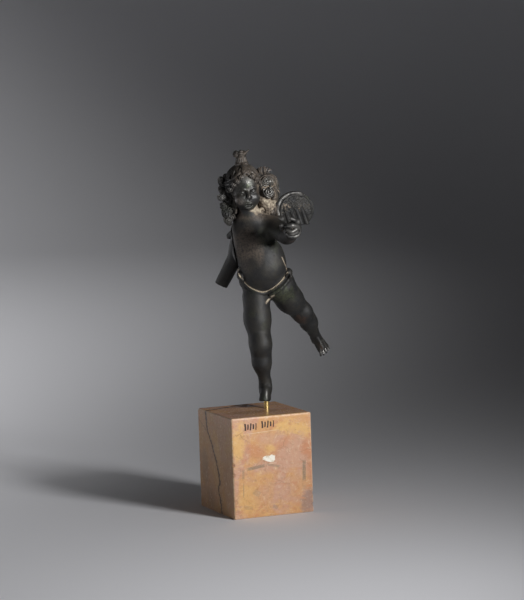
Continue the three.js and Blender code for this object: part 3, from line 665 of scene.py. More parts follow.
def modelCurls(clay):
    # on the figure's left: a tuft that stands up, and two coiled curls on the hair that carries them
    for k in range(hair["tuft"]):
        foot, tip = 1.2 + 0.4 * k, -0.2 + 0.9 * k + rough.normal(0, 0.2)
        waist = at((foot + tip) / 2 + 0.3 * math.sin(k * 2.4), -7.8, 119.2)
        line = [at(foot, -6.6, 117), waist, at(tip, -7.2, 121.4 - 0.1 * (k - 3) ** 2)]
        clay.add(strand(line, 0.5, 0.4, 8), 0.08)
    clay.add(egg(at(6.2, -5.6, 112.0), at(3.6, 2.2, 5.4)), 0.6)
    clay.add(shellCurl(at(3.2, -7.8, 114.6), 12, 2.8, 60), 0.08)
    clay.add(shellCurl(at(4.8, -7.8, 109.0), 14, 2.8, 150), 0.08)
    for k in range(5):  # outer locks that curve round the two curls
        s, y = 1.03 - 0.13 * k, -6.8 - 0.35 * k
        arc = [at(2.6 + 2.4 * s, y, 114.0 + 3.6 * s), at(2.6 + 5.2 * s, y, 114.0 + 2.4 * s)]
        arc += [at(2.6 + 6.4 * s, y, 114.0 - 0.4 * s), at(2.6 + 6.0 * s, y + 0.6, 114.0 - 4.6 * s)]
        clay.add(strand([p + rough.normal(0, 0.12, 3) for p in arc], 0.5, 0.42, 12), 0.06)
    for k in range(3):  # and on down beside the neck
        arc = [at(7.6 - k, -7.6, 111.2 - 0.3 * k), at(9.6 - k, -7.0, 108.8)]
        arc += [at(9.2 - k, -6.2, 105.6), at(7.6 - k, -5.2, 103.6)]
        clay.add(strand(arc, 0.6, 0.6, 10), 0.1)
    # the hair behind the curls, on the figure's right and on its left
    right = [at(-13.8, -2.2, 116), at(-16.0, -2.6, 111), at(-16.0, -2.6, 105), at(-14.4, -2.4, 97)]
    clay.add(strand(right, 2.0, 2.4, 8), 1)
    clay.add(strand([at(-0.6, -5.2, 117.6), at(1.8, -5.4, 112), at(3.4, -2.4, 103)], 2.4, 3.2, 5), 1)
    for k, (x, z) in enumerate(hair["column"]):
        size, slant = 2.25 + 0.25 * math.sin(k * 1.7), 38 + 30 * math.sin(k * 2.3)
        place = at(x, -4.3 - 0.7 * (k % 2), z)
        clay.add(shellCurl(place, -14 + 14 * (k % 3), size, 137 * k, 0.34, slant, 1.2), 0.06)
    for k in range(hair["waves"]):
        x = -13.4 + 0.3 * k
        wave = [at(x + 0.6 * math.sin(2.2 * i + k), -4.6 - 0.5 * k, 117 - 3.6 * i) for i in range(6)]
        clay.add(strand(wave, 0.55, 0.45, 16), 0.06)


def modelNape(clay):
    # loose locks down the back of the neck, over a mass that spreads to both shoulders
    clay.add(strand([at(-12, 0.6, 106), at(-4, 3, 104), at(3.4, 1.2, 102)], 4.6, 4.0, 6), 2)
    clay.add(strand([at(-11, -0.6, 99.6), at(-3, 2, 99.4), at(4.2, 0.2, 99)], 3.4, 3.0, 6), 2)
    beside = [at(1.8, -3.6, 106), at(3.6, -3.0, 103.6), at(4.8, -1.8, 101.4), at(5.2, -1.0, 99.0)]
    clay.add(strand(beside, 3.2, 2.8, 5), 1.2)
    for _ in range(hair["lumps"]):
        spot = clay.front(*rough.uniform((-0.6, 98.0), (7.4, 107.0)))
        if spot is not None and -9 < spot[1] < 2:
            clay.add(egg(spot + at(0, 0.2, 0), rough.uniform(0.3, 0.6, 3)), 0.6)
    for i in range(hair["nape"]):
        x = -14.6 + i * 2.75
        back = 4.8 - 0.26 * (i - 3.6) ** 2
        low = 95.6 + 1.3 * math.sin(i * 2.1)
        line = [at(x + 0.6, back - 2.6, 113), at(x + 0.9, back + 2.0, 106), at(x + 0.1, back + 1.6, 100)]
        line.append(at(x + 0.9, back + 0.6, low))
        clay.add(strand(line, 1.7, 1.0, 8), 0.4)
        for angle in (-50, 0, 50):  # threads over the back of each lock
            away = at(math.sin(math.radians(angle)), math.cos(math.radians(angle)), 0)
            thread = [p + away * w for p, w in zip(line, (1.7, 1.6, 1.4, 1.0))]
            clay.add(strand(thread, 0.42, 0.3, 12), 0.1)


wing = {
    "wide": 10.3,
    "high": 9.2,
    "thick": 1.1,
    "floor": -7.9,  # height of the straight lower edge
    "feathers": 4,
    "rows": 10,  # of short feathers
}


def wingEdge(inward, y, steps):
    # the rolled front edge, from below round to the tip
    angles = [math.radians(212 - i * 13) for i in range(12)]
    x, z = wing["wide"] - inward, wing["high"] - 0.4 - inward
    return smoothLine([onWing(x * math.cos(a), y, z * math.sin(a)) for a in angles], steps)


def modelWing(clay):
    # a plate with a rolled and beaded front edge, long feathers cut straight below and rows of
    # short ones like scales above them
    wide, high, thick, floor = wing["wide"], wing["high"], wing["thick"], wing["floor"]

    def trimmed(shape):
        bottom, top, distance = shape
        return bottom, top, lambda x, y, z: np.maximum(distance(x, y, z), wingFrame[2, 3] + floor - z)

    clay.add(cone(at(3, 4.2, 93.4), onWing(-8.4, -0.8, -4.6), 3.0, 2.2), 1.5)
    clay.add(trimmed(egg(at(0, 0, -0.4), at(wide, thick, high), wingFrame)), 0.6)
    for face in (-1, 1):
        for i in range(wing["feathers"]):  # each with its shaft, slanting down to the trailing edge
            x = -3.4 + 3.0 * i
            vane = [(x - 2.6, 0.6), (x - 1.3, -3.2), (x + 0.3, floor)]
            clay.add([trimmed(s) for s in chain([onWing(a, face * 0.5, b) for a, b in vane], 1.2, 1.4)], 0.15)
            shaft = [onWing(a, face * 1.72, b) for a, b in vane]
            clay.add([trimmed(s) for s in chain(shaft, 0.24, 0.26)], 0.08)
            for side in (-0.75, 0.75):
                barb = [onWing(a + side, face * 1.5, b) for a, b in vane]
                clay.add([trimmed(s) for s in chain(barb, 0.16, 0.2)], 0.05)
        for row in range(wing["rows"]):
            reach = 0.16 + 0.08 * row
            count = 5 + 4 * row
            for k in range(count + 1):
                angle = math.radians(-16 + 200 * (k + 0.5 * (row % 2)) / count)
                x, z = wide * reach * math.cos(angle) - 0.8, (high - 0.3) * reach * math.sin(angle) - 0.8
                x, z = x + rough.normal(0, 0.14), z + rough.normal(0, 0.14)
                outward = (x / wide) ** 2 + ((z + 0.4) / high) ** 2
                if outward > 0.84 or z < floor + 3.6 and x > -3:
                    continue
                swell = thick * math.sqrt(max(0.12, 1 - (x / wide) ** 2 - ((z + 0.4) / high) ** 2))
                turn = wingFrame @ turned(at(x, face * swell, z), 0, -math.degrees(angle), 0)
                clay.add(egg(at(0, 0, 0), at(0.52, 0.36, 0.36) * rough.uniform(0.8, 1.15), turn), 0.04)
    clay.add(chain(wingEdge(0.4, 0.1, 24), 1.45, 0.7), 0.3)
    clay.add([egg(p, at(0.42, 0.42, 0.42)) for p in wingEdge(1.6, -1.5, 30)], 0.05)
    clay.add(cone(at(-12.6, 4.6, 89), at(-15.6, 8.0, 86.6), 2.0, 1.7), 0.8)  # stump of the other wing
    for _ in range(6):  # pits in its break
        clay.cut(egg(at(-16.2, 8.6, 86.2) + rough.normal(0, 0.7, 3), rough.uniform(0.4, 0.8, 3)), 0.3)


def modelFold(clay):
    # the crease under the belly, which runs up the flank, with a second groove below it on the left
    crease, flank = draw(clay, "crease", 40), draw(clay, "flank", 13)
    clay.add(chain([p + at(0, 0.45, -0.7) for p in crease], 0.5, 0.5), 0.8)
    below = onFront(clay, [p + at(0.8, 0, -1.1) for p in crease[22:]])
    clay.add(chain([p + at(0.7, 0.5, -0.9) for p in below], 0.5, 0.75), 0.5)
    clay.cut(chain([p + at(0, -0.1, 0) for p in below], 0.2, 0.45), 0.25)
    clay.cut(chain(crease, 0.26, 0.26), 0.3)
    clay.cut(chain(flank, 0.16, 0.08), 0.3)
    # the small swirl of flesh at the crease's right end
    angles = np.linspace(-2.4, 3.4, 14)
    swirl = [at(-10.7 + 1.3 * math.cos(a), -4.3, 69.4 + 2.0 * math.sin(a)) for a in angles]
    clay.add(chain(swirl, 0.45, 0.3), 0.3)
    clay.cut(egg(at(-10.7, -5.0, 69.4), at(0.6, 0.9, 1.1)), 0.4)
    return {"crease": crease, "flank": flank, "swirl": swirl, "deposit": draw(clay, "deposit", 14)}


def modelFigure():
    # the grid is finer where the head, the curls and the fist are
    coarse, fine = body["coarse"], body["fine"]
    spans = [
        [(-25, -21.5, coarse), (-21.5, 18.5, fine), (18.5, 36.6, coarse)],
        [(-41.6, -39.5, coarse), (-39.5, -27, fine), (-27, -17, coarse), (-17, 6, fine), (6, 35.2, coarse)],
        [(2.4, 84, coarse), (84, 132.6, fine)],
    ]
    clay = Clay(spans)
    modelTorso(clay)
    modelLegs(clay)
    modelToes(clay)
    modelArms(clay)
    gap = modelGap(clay)
    modelFist(clay)
    marked = modelFold(clay)
    marked["gap"] = gap
    modelWing(clay)
    modelFace(clay)
    modelLocks(clay)
    modelTopknot(clay)
    modelCurls(clay)
    modelNape(clay)
    clay.cut(cone(at(0, 0, -4), at(0, 0, body["pinTop"]), body["pinHole"]), 0.05)
    print("clay modelled")
    return clay.skin(), marked


def near(points, line, reach):
    # 1 on a line of points, falling to 0 at the reach
    away = np.full(len(points), np.inf)
    for p in line:
        away = np.minimum(away, np.linalg.norm(points - p, axis=1))
    return 1 - ramp(away, 0.35 * reach, reach)


def patch(points, middle, radii, seed, size=2.5):
    # a soft patch with a ragged edge
    away = np.linalg.norm((points - middle) / radii, axis=1)
    return 1 - ramp(away + 0.45 * grain(points, size, seed), 0.6, 1.15)


def markFigurine(mesh, marked):
    # writes on each point how soiled, green, rusty, smooth or brown it is, how rubbed it is with painted
    # highlights, and how hollow it is for painted shade
    place = pointsOf(mesh) * metre
    x, y, z = place.T

    def spot(middle, radii, seed, size=2.5):
        return patch(place, at(*middle), at(*radii), seed, size)

    mottle = grain(place, 1.3, 31) * 0.6 + grain(place, 0.6, 32) * 0.4
    small, wide = curvature(mesh, 3), curvature(mesh, 14)
    # how hollow each point is; the bronze is darkened there as painted shade
    hollow = np.clip(ramp(-small, 0.01, 0.06) * 0.6 + ramp(-wide, 0.04, 0.3) * 0.6, 0, 1)
    # painted shadow: the gap beside the right arm is painted black
    hollow = np.maximum(hollow, near(place, marked["gap"], 1.3))
    ridge = np.clip(ramp(small, 0.035, 0.1) * 0.9 + ramp(wide, 0.2, 0.6) * 0.1, 0, 1)
    # only the hair, the wing, the fist and the toes have ridges that shine
    ridge *= np.max([ramp(z, 93, 96), ramp(-y, 24, 28), ramp(y, 22, 25)], axis=0)
    proud = np.minimum(ridge * 1.5, 1)
    cheek = [(-1.4, -11.6, 116.4), (-0.7, -10.6, 113), (-0.1, -9.4, 110)]
    cheek += [(0.1, -7.4, 107.2), (-0.6, -6.8, 104.6), (-1.4, -6.7, 102.2)]
    curls = spot((5.6, -5, 110.5), (6.6, 10, 8.5), 41, 3)
    outerCurls = spot((8.6, -6, 110.5), (2.2, 6, 8), 53, 2)
    besideNeck = spot((3.2, -4, 102.2), (6.4, 6.5, 5.6), 42, 2)
    besideNeck = np.maximum(besideNeck, spot((-0.6, -6, 100.4), (5, 5, 3), 58, 2))
    behind = ramp(y, -1, 3) * ramp(z, 94, 100) * ramp(grain(place, 4, 43), -0.5, 0.5)
    soiled = [  # dry ochre dirt; the last three are the wing's root, the fist and the front of the hair
        near(place, marked["crease"], 0.76) * ramp(mottle, -1.3, -0.3),
        near(place, marked["flank"], 0.7) * ramp(mottle, -1.0, 0.0) * 0.85,
        near(place, marked["swirl"], 0.7) * ramp(mottle, -0.3, 0.3) * 0.8,
        near(place, marked["deposit"], 1.1) * ramp(mottle, -0.8, 0.0),  # in the groin
        near(place, smoothLine([at(*p) for p in cheek], 30), 0.7) * ramp(mottle, -1.0, 0.2) * 0.8,
        curls * np.clip(hollow * 0.9 + 0.3 * mottle, 0, 0.7) * (1 - 0.8 * ridge),
        outerCurls * ramp(mottle, -0.7, 0.5) * (0.35 + 0.4 * ridge),
        besideNeck * (0.5 + 0.45 * ramp(mottle, -0.7, 0.5)) * (1 - 0.35 * hollow),
        behind * np.clip(hollow + 0.3 * mottle, 0, 1) * 0.6,
        spot((12.2, 6, 101), (4, 4, 5), 45, 1.1) * ramp(mottle, 0.05, 0.6) * 0.7,
        spot((15, -34, 91.6), (5, 6, 4), 46, 2) * hollow * ramp(mottle, -0.2, 0.5) * 0.8,
        spot((-5, -11, 118.6), (6, 6, 3.4), 54, 1.5) * np.clip(hollow + 0.3 * mottle, 0, 1) * 0.6,
    ]
    green = [
        spot((9, -3, 57), (7, 8, 4.5), 47) * 0.9,  # groin and raised thigh
        spot((-5.4, -14.4, 112.8), (1.9, 1.6, 1.2), 48, 1),
        0.55 * ramp(grain(place, 6, 49), 0.35, 0.9),
    ]
    # below the raised knee and under the left forearm
    rust = np.maximum(spot((19.5, 10, 43), (3.4, 5, 3.2), 50), spot((15.6, -24, 84.8), (3.2, 5, 2), 51))
    worn = ridge * (0.3 + 0.45 * ramp(grain(place, 3, 52), -0.4, 0.6))
    worn *= 1 - 0.6 * spot((18.5, 8, 98), (8, 8, 8), 61, 3)  # less on the wing
    balls = spot((4.2, -9, 111.8), (3.3, 3.4, 6), 67, 3)  # the two coiled curls
    # worn ridges, and painted highlights on the fist, feet, forehead, hair and wing
    wearAndPaintedHighlight = [
        worn,
        spot((16, -37, 92), (4.5, 5, 5), 59, 3) * (1 - hollow) * 0.7,  # fist
        spot((0.4, -4.4, 7.4), (0.9, 2, 3.8), 62, 3) * 0.72,  # front of the standing foot: worn, with a painted highlight down it
        spot((30, 24.6, 27), (2.6, 3, 5), 60, 3) * 0.95,  # painted highlight on the raised foot
        spot((-6, -14, 115.4), (3.4, 4, 3), 63, 3) * 0.7,  # painted highlight on the forehead
        proud * spot((-7, -6, 121), (8, 9, 6), 64, 3) * 0.9,  # painted highlight on the crown's ridges
        ridge * spot((-8, -5, 127), (6, 5, 6), 65, 3) * 0.45,  # painted highlight on the topknot's ridges
        # painted highlight along the wing's rolled edge
        near(place, wingEdge(0.9, -1.2, 24), 1.5) * ramp(mottle, -0.9, 0.3) * 0.75,
        # painted highlights on the ridges of the two coiled curls
        0.9 * balls * proud,
    ]
    # the face and the raised foot are smoother than the rest
    smooth = np.maximum(spot((-5.6, -13, 108), (7, 7, 9), 55, 4), spot((29.5, 26, 27), (4, 5, 6), 56, 3))
    # the hair is duller and browner, apart from the coiled curls and the topknot, and the breast is painted
    # that lighter brown as painted light
    # the hair down the figure's right side is left the darker bronze, as painted shade
    locks = ramp(x, -15.5, -10) * ramp(z, 94, 97) * (1 - spot((-5.6, -12, 107), (7.2, 7.4, 10), 57, 5))
    locks *= ramp(-x, -9.6, -8.6)
    locks *= 1 - 0.75 * np.maximum(balls, spot((-8, -5, 127.6), (5, 5, 3.6), 68, 3))
    # painted light: the breast is painted the lighter brown of the hair
    locks = np.maximum(locks, 0.95 * spot((-8, -8, 84), (8, 7, 13), 66, 5))
    ochre, green, worn = (np.max(masks, axis=0) for masks in (soiled, green, wearAndPaintedHighlight))
    write(mesh, ochre=ochre, green=green, rust=rust, worn=worn, hollow=hollow, smooth=smooth, locks=locks)


def makeFigurine():
    (points, triangles), marked = modelFigure()
    piece = link("bronze_child", meshOf("bronze_child", points, triangles))
    place = pointsOf(piece.data) * metre
    pits = ramp(grain(place, 0.9, 21), 0.5, 0.95) * ramp(grain(place, 7, 22), -0.2, 0.6)
    swell = 0.045 * grain(place, 5, 23) + 0.04 * grain(place, 1.7, 24) + 0.02 * grain(place, 0.7, 25)
    relief(piece.data, swell - 0.1 * pits)
    print("bronze skin:", len(triangles), "triangles")
    mesh = thinned(piece, body["triangles"]).data
    markFigurine(mesh, marked)
    # from the figure's own place to its place on the pin
    angle = math.radians(body["turn"])
    c, s = math.cos(angle), math.sin(angle)
    standing = pointsOf(mesh) * metre @ np.array(((c, s, 0), (-s, c, 0), (0, 0, 1))) + body["foot"]
    mesh.vertices.foreach_set("co", (standing / metre).astype(np.float32).ravel())
    mesh.update()
    return piece


# Materials. Sums and products of wires add the nodes themselves.
class Wire:
    def __init__(self, finish, socket):
        self.finish, self.socket = finish, socket

    def maths(self, operation, first, second=0.0):
        return self.finish.add("ShaderNodeMath", {"operation": operation}, {0: first, 1: second})

    def __add__(self, other):
        return self.maths("ADD", self, other)

    def __sub__(self, other):
        return self.maths("SUBTRACT", self, other)

    def __rsub__(self, other):
        return self.maths("SUBTRACT", other, self)

    def __mul__(self, other):
        return self.maths("MULTIPLY", self, other)

    def __or__(self, other):
        return self.maths("MAXIMUM", self, other)

    def __abs__(self):
        return self.maths("ABSOLUTE", self)

    __radd__, __rmul__, __ror__ = __add__, __mul__, __or__


def paint(red, green, blue):
    # a colour as seen on a screen, 0 to 255, as the linear colour that a shader takes
    levels = [((v / 255 + 0.055) / 1.055) ** 2.4 if v > 10 else v / 3295 for v in (red, green, blue)]
    return (*levels, 1)


class Finish:
    def __init__(self, name):
        self.material = bpy.data.materials.new(name)
        self.material.use_nodes = True
        self.tree = self.material.node_tree
        self.tree.nodes.clear()
        values = {0: self.add("ShaderNodeTexCoord", out="Object"), "Scale": float(metre)}
        self.place = self.add("ShaderNodeVectorMath", {"operation": "SCALE"}, values)  # in mm

    def add(self, kind, settings=None, sockets=None, out=0):
        node = self.tree.nodes.new(kind)
        for name, value in (settings or {}).items():
            if name == "stops":  # of a ramp: position and grey value
                for place, height in value[1:-1]:
                    node.color_ramp.elements.new(place)
                for stop, (place, height) in zip(node.color_ramp.elements, value):
                    stop.position, stop.color = place, (height, height, height, 1)
            else:
                setattr(node, name, value)
        for name, value in (sockets or {}).items():
            if isinstance(value, Wire):
                self.tree.links.new(value.socket, node.inputs[name])
            else:
                node.inputs[name].default_value = value
        return Wire(self, node.outputs[out])

    def axis(self, name, vector=None):
        return self.add("ShaderNodeSeparateXYZ", None, {0: vector or self.place}, name)

    def read(self, name):
        return self.add("ShaderNodeAttribute", {"attribute_name": name}, None, "Fac")

    def noise(self, size, detail=3.0, roughness=0.5, stretch=(1, 1, 1), shift=(0, 0, 0), warp=0.0):
        values = {"Vector": self.place, "Scale": stretch, "Location": shift}
        values = {"Vector": self.add("ShaderNodeMapping", None, values), "Scale": 1 / size}
        values |= {"Detail": detail, "Roughness": roughness, "Distortion": warp}
        return self.add("ShaderNodeTexNoise", None, values)

    def noiseColour(self, size):
        # three noises from -0.5 to 0.5, to push a pattern about
        colour = self.add("ShaderNodeTexNoise", None, {"Vector": self.place, "Scale": 1 / size}, "Color")
        return self.add("ShaderNodeVectorMath", {"operation": "SUBTRACT"}, {0: colour, 1: (0.5, 0.5, 0.5)})

    def step(self, value, low, high):
        ends = {"Value": value, "From Min": low, "From Max": high}
        return self.add("ShaderNodeMapRange", {"interpolation_type": "SMOOTHSTEP"}, ends)

    def mix(self, factor, a, b):
        return self.add("ShaderNodeMix", {"data_type": "RGBA"}, {0: factor, 6: a, 7: b}, 2)

    def region(self, middle, half, turn=0.0, edge=0.25, ragged=0.0, square=False):
        # 1 inside an ellipsoid or a box in mm, turned about Y, 0 outside; ragged moves its edge about
        values = {"Location": middle, "Rotation": (0, math.radians(turn), 0), "Scale": half}
        local = self.add("ShaderNodeMapping", {"vector_type": "TEXTURE"}, {"Vector": self.place, **values})
        if square:
            away = abs(self.axis("X", local)) | abs(self.axis("Y", local)) | abs(self.axis("Z", local))
        else:
            away = self.add("ShaderNodeVectorMath", {"operation": "LENGTH"}, {0: local}, "Value")
        return 1 - self.step(away + ragged, 1 - edge, 1 + edge)

    def bump(self, height, distance):
        values = {"Height": height, "Distance": distance / metre, "Strength": 1.0}
        return self.add("ShaderNodeBump", None, values)

    def done(self, **sockets):
        values = {name.replace("_", " "): value for name, value in sockets.items()}
        shader = self.add("ShaderNodeBsdfPrincipled", None, values)
        output = self.tree.nodes.new("ShaderNodeOutputMaterial")
        self.tree.links.new(shader.socket, output.inputs["Surface"])
        return self.material


bronze = {
    "dark": paint(34, 34, 35),
    # painted shade for the hollows and the gap by the arm
    "deep": paint(14, 13, 12),
    "brown": paint(44, 42, 39),
    "hair": paint(86, 76, 67),
    # brown of the hair, also painted on the breast as painted light
    "olive": paint(50, 50, 45),
    "green": paint(66, 72, 52),
    "rust": paint(72, 54, 44),
    # bright worn metal, also the colour of the painted highlights
    "worn": paint(124, 122, 119),
    "ochre": paint(124, 112, 98),
    "cream": paint(182, 172, 150),
}


def bronzeFinish():
    f = Finish("darkBronze")
    cloud, speck, dust = f.noise(5, 4), f.noise(0.9, 4, 0.6), f.noise(0.35, 2)
    ochre, worn, green, rust, hollow = (f.read(name) for name in ("ochre", "worn", "green", "rust", "hollow"))
    smooth, locks = f.read("smooth"), f.read("locks")
    skin = f.mix(f.step(cloud, 0.4, 0.65), bronze["dark"], bronze["brown"])
    skin = f.mix(f.step(speck, 0.45, 0.75) * 0.6, skin, bronze["olive"])
    skin = f.mix(green * f.step(speck, 0.3, 0.6) * 0.7, skin, bronze["green"])
    skin = f.mix(rust * f.step(speck, 0.35, 0.6) * 0.7, skin, bronze["rust"])
    # brown of the hair, and the breast painted lighter as painted light
    skin = f.mix(locks * f.step(speck, 0.25, 0.6) * 0.8, skin, bronze["hair"])
    wearAndPaintedHighlight = f.step(worn + speck * 0.3, 0.4, 1.1)
    # bright worn metal and painted highlights
    skin = f.mix(wearAndPaintedHighlight * 0.7, skin, bronze["worn"])
    # painted shade: the hollows and the gap by the arm go almost black
    skin = f.mix(hollow * 0.85, skin, bronze["deep"])
    dirt = f.step(ochre + (dust - 0.5) * 0.5, 0.25, 0.75) | f.step(f.noise(0.55, 4, 0.65), 0.6, 0.78) * 0.35
    earth = f.mix(f.step(ochre + speck * 0.3, 0.85, 1.25), bronze["ochre"], bronze["cream"])
    skin = f.mix(dirt, skin, earth)
    clean = 1 - dirt
    dull = 0.53 + cloud * 0.1 + hollow * 0.15 + dirt * 0.3
    return f.done(
        Base_Color=skin,
        Metallic=clean * (0.3 + wearAndPaintedHighlight * 0.5),
        Roughness=dull - wearAndPaintedHighlight * 0.18 - smooth * 0.2 + locks * 0.04,
        Specular_IOR_Level=0.45,
        Normal=f.bump(speck * 0.55 + dust * 0.45, 0.13),
    )


# The block, in mm
block = {
    "half": (21.2, 23.15, 25),  # half sizes
    "edge": 0.3,  # radius of the edges
    "spacing": 0.4,  # of the clay's grid
    "triangles": 60000,
    "chips": ((-1, 27, 0.9), (-1, 22, 1.1), (1, 10, 1.0), (1, 3.6, 1.2)),  # side, height, size
    "nicks": 70,
    "pinHole": at(8.1, 2.7, 35.7),  # its bottom
    "pinHoleWide": 1.55,  # radius
}


def makeBlock():
    low, high = (np.array(corner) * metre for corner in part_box("marble_block"))
    spacing, edge = block["spacing"], block["edge"]
    clay = Clay([[(a - 2, b + 2.01, spacing)] for a, b in zip(low, high)])
    middle, half = (low + high) / 2, (high - low) / 2 - edge

    def slab(x, y, z):
        away = [np.abs(v - m) - h for v, m, h in zip((x, y, z), middle, half)]
        outside = np.sqrt(sum(np.maximum(v, 0) ** 2 for v in away))
        return outside + np.minimum(np.maximum(np.maximum(away[0], away[1]), away[2]), 0) - edge

    clay.add((low, high, slab), 0.01)
    hole = block["pinHole"]
    clay.cut(cone(hole, hole + at(0, 0, 20), block["pinHoleWide"]), 0.1)
    for side, z, size in block["chips"]:
        corner = at(high[0] if side > 0 else low[0], low[1], z)
        for _ in range(4):
            middle = corner + rough.normal(0, 0.3, 3) * size
            clay.cut(egg(middle, size * rough.uniform(0.5, 0.9, 3) * at(1, 1, 1.4)), 0.15)
    for _ in range(block["nicks"]):  # small nicks along the edges
        spot = low + (high - low) * rough.uniform(0, 1, 3)
        for axis in rough.choice(3, 2, replace=False):
            spot[axis] = (low if rough.random() < 0.5 else high)[axis]
        if spot[2] > 2:
            clay.cut(egg(spot, rough.uniform(0.25, 0.6, 3)), 0.15)
    points, triangles = clay.skin()
    piece = link("marble_plinth", meshOf("marble_plinth", points, triangles))
    place = pointsOf(piece.data) * metre
    above = ramp(place[:, 2], 0.4, 1.5)
    height = 0.035 * grain(place, 9, 61) + 0.012 * grain(place, 2.2, 62)
    height -= 0.12 * ramp(grain(place, 1.4, 63), 0.72, 0.95)
    relief(piece.data, np.minimum(height * above, 0.0))  # inward only, and not where it stands
    return thinned(piece, block["triangles"])


vein = {  # the brown vein down the block's left side: its place from front to back at each height
    "heights": (0, 7.7, 11.9, 16.6, 24.2, 33.2, 40.4, 50),
    "places": (-6.1, -4.8, -2.2, -5.0, -1.6, 4.0, 10.4, 12.0),
    "slant": 0.35,  # how far it moves back for each mm into the block
}


marble = {
    "honey": paint(202, 154, 104),
    "yellow": paint(214, 172, 108),
    "pink": paint(194, 152, 128),
    "rose": paint(190, 130, 94),
    "mauve": paint(154, 126, 114),
    "brown": paint(142, 106, 72),
    "umber": paint(150, 116, 66),
    "vein": paint(70, 50, 40),
    "trace": paint(128, 116, 96),
    "pale": paint(222, 200, 172),
}
patches = (  # clouds of colour in the stone, and a painted shade over the left side: colour, middle, half sizes, turn, strength
    ("yellow", (12.5, -23, 42.0), (11.0, 14, 3.4), 18, 0.9),
    ("yellow", (-17.8, -23, 37.0), (3.6, 10, 9.0), 6, 0.8),
    ("yellow", (-14.0, -23, 9.0), (6.0, 8, 7.0), -20, 0.5),
    ("yellow", (-1.0, -23, 33.5), (2.6, 3, 2.0), 0, 0.7),
    ("pink", (12.0, -23, 31.0), (7.5, 14, 9.0), 10, 0.9),
    ("pink", (-3.0, -23, 39.0), (6.0, 9, 2.6), 12, 0.6),
    ("pink", (3.0, -23, 13.0), (13.0, 9, 5.0), -14, 0.45),
    ("rose", (18.6, -23, 32.5), (3.0, 9, 4.6), 0, 0.8),
    ("rose", (-9.5, -23, 33.0), (5.0, 9, 3.2), 24, 0.65),
    ("rose", (6.0, -23, 36.0), (5.0, 8, 2.2), -34, 0.5),
    ("rose", (20.0, -23, 24.0), (1.6, 8, 9.0), 4, 0.5),
    ("mauve", (19.6, -23, 6.5), (4.4, 7, 7.4), 24, 0.85),
    ("mauve", (-21, 15, 22.0), (7.0, 4, 9.0), 0, 0.7),
    ("mauve", (-21, 8, 7.0), (6.0, 5, 5.0), 0, 0.6),
    ("mauve", (4, 14, 50), (15.0, 3, 6.0), 0, 0.7),
    ("yellow", (-21, -2, 24.0), (8.0, 4, 12.0), 0, 0.5),
    # painted shade: the whole left side is toned a darker umber
    ("umber", (-21.2, 0, 25), (0.6, 40, 40), 0, 0.5),
    ("brown", (-2, -6, 50), (14.0, 5, 5.0), 0, 0.6),
)
traces = (  # what an old label and its tape left on the front: middle, half sizes, turn, strength
    ((-9.0, -23, 25.0), (4.5, 1, 0.75), -7.5, 0.75),
    ((0.4, -23, 25.2), (3.2, 1, 0.6), 13, 0.5),
    ((16.6, -23, 21.2), (0.85, 1, 4.8), 2, 0.75),
    ((-15.8, -23, 22.0), (0.6, 1, 2.2), 4, 0.5),
    ((-15.9, -23, 14.2), (0.25, 1, 3.4), 2, 0.5),
    ((-8.9, -23, 12.2), (1.8, 1, 1.4), 30, 0.3),
    ((-13.7, -23, 5.3), (2.4, 1, 0.9), 10, 0.3),
    ((0.6, -23, 4.5), (1.3, 1, 0.9), 20, 0.4),
)


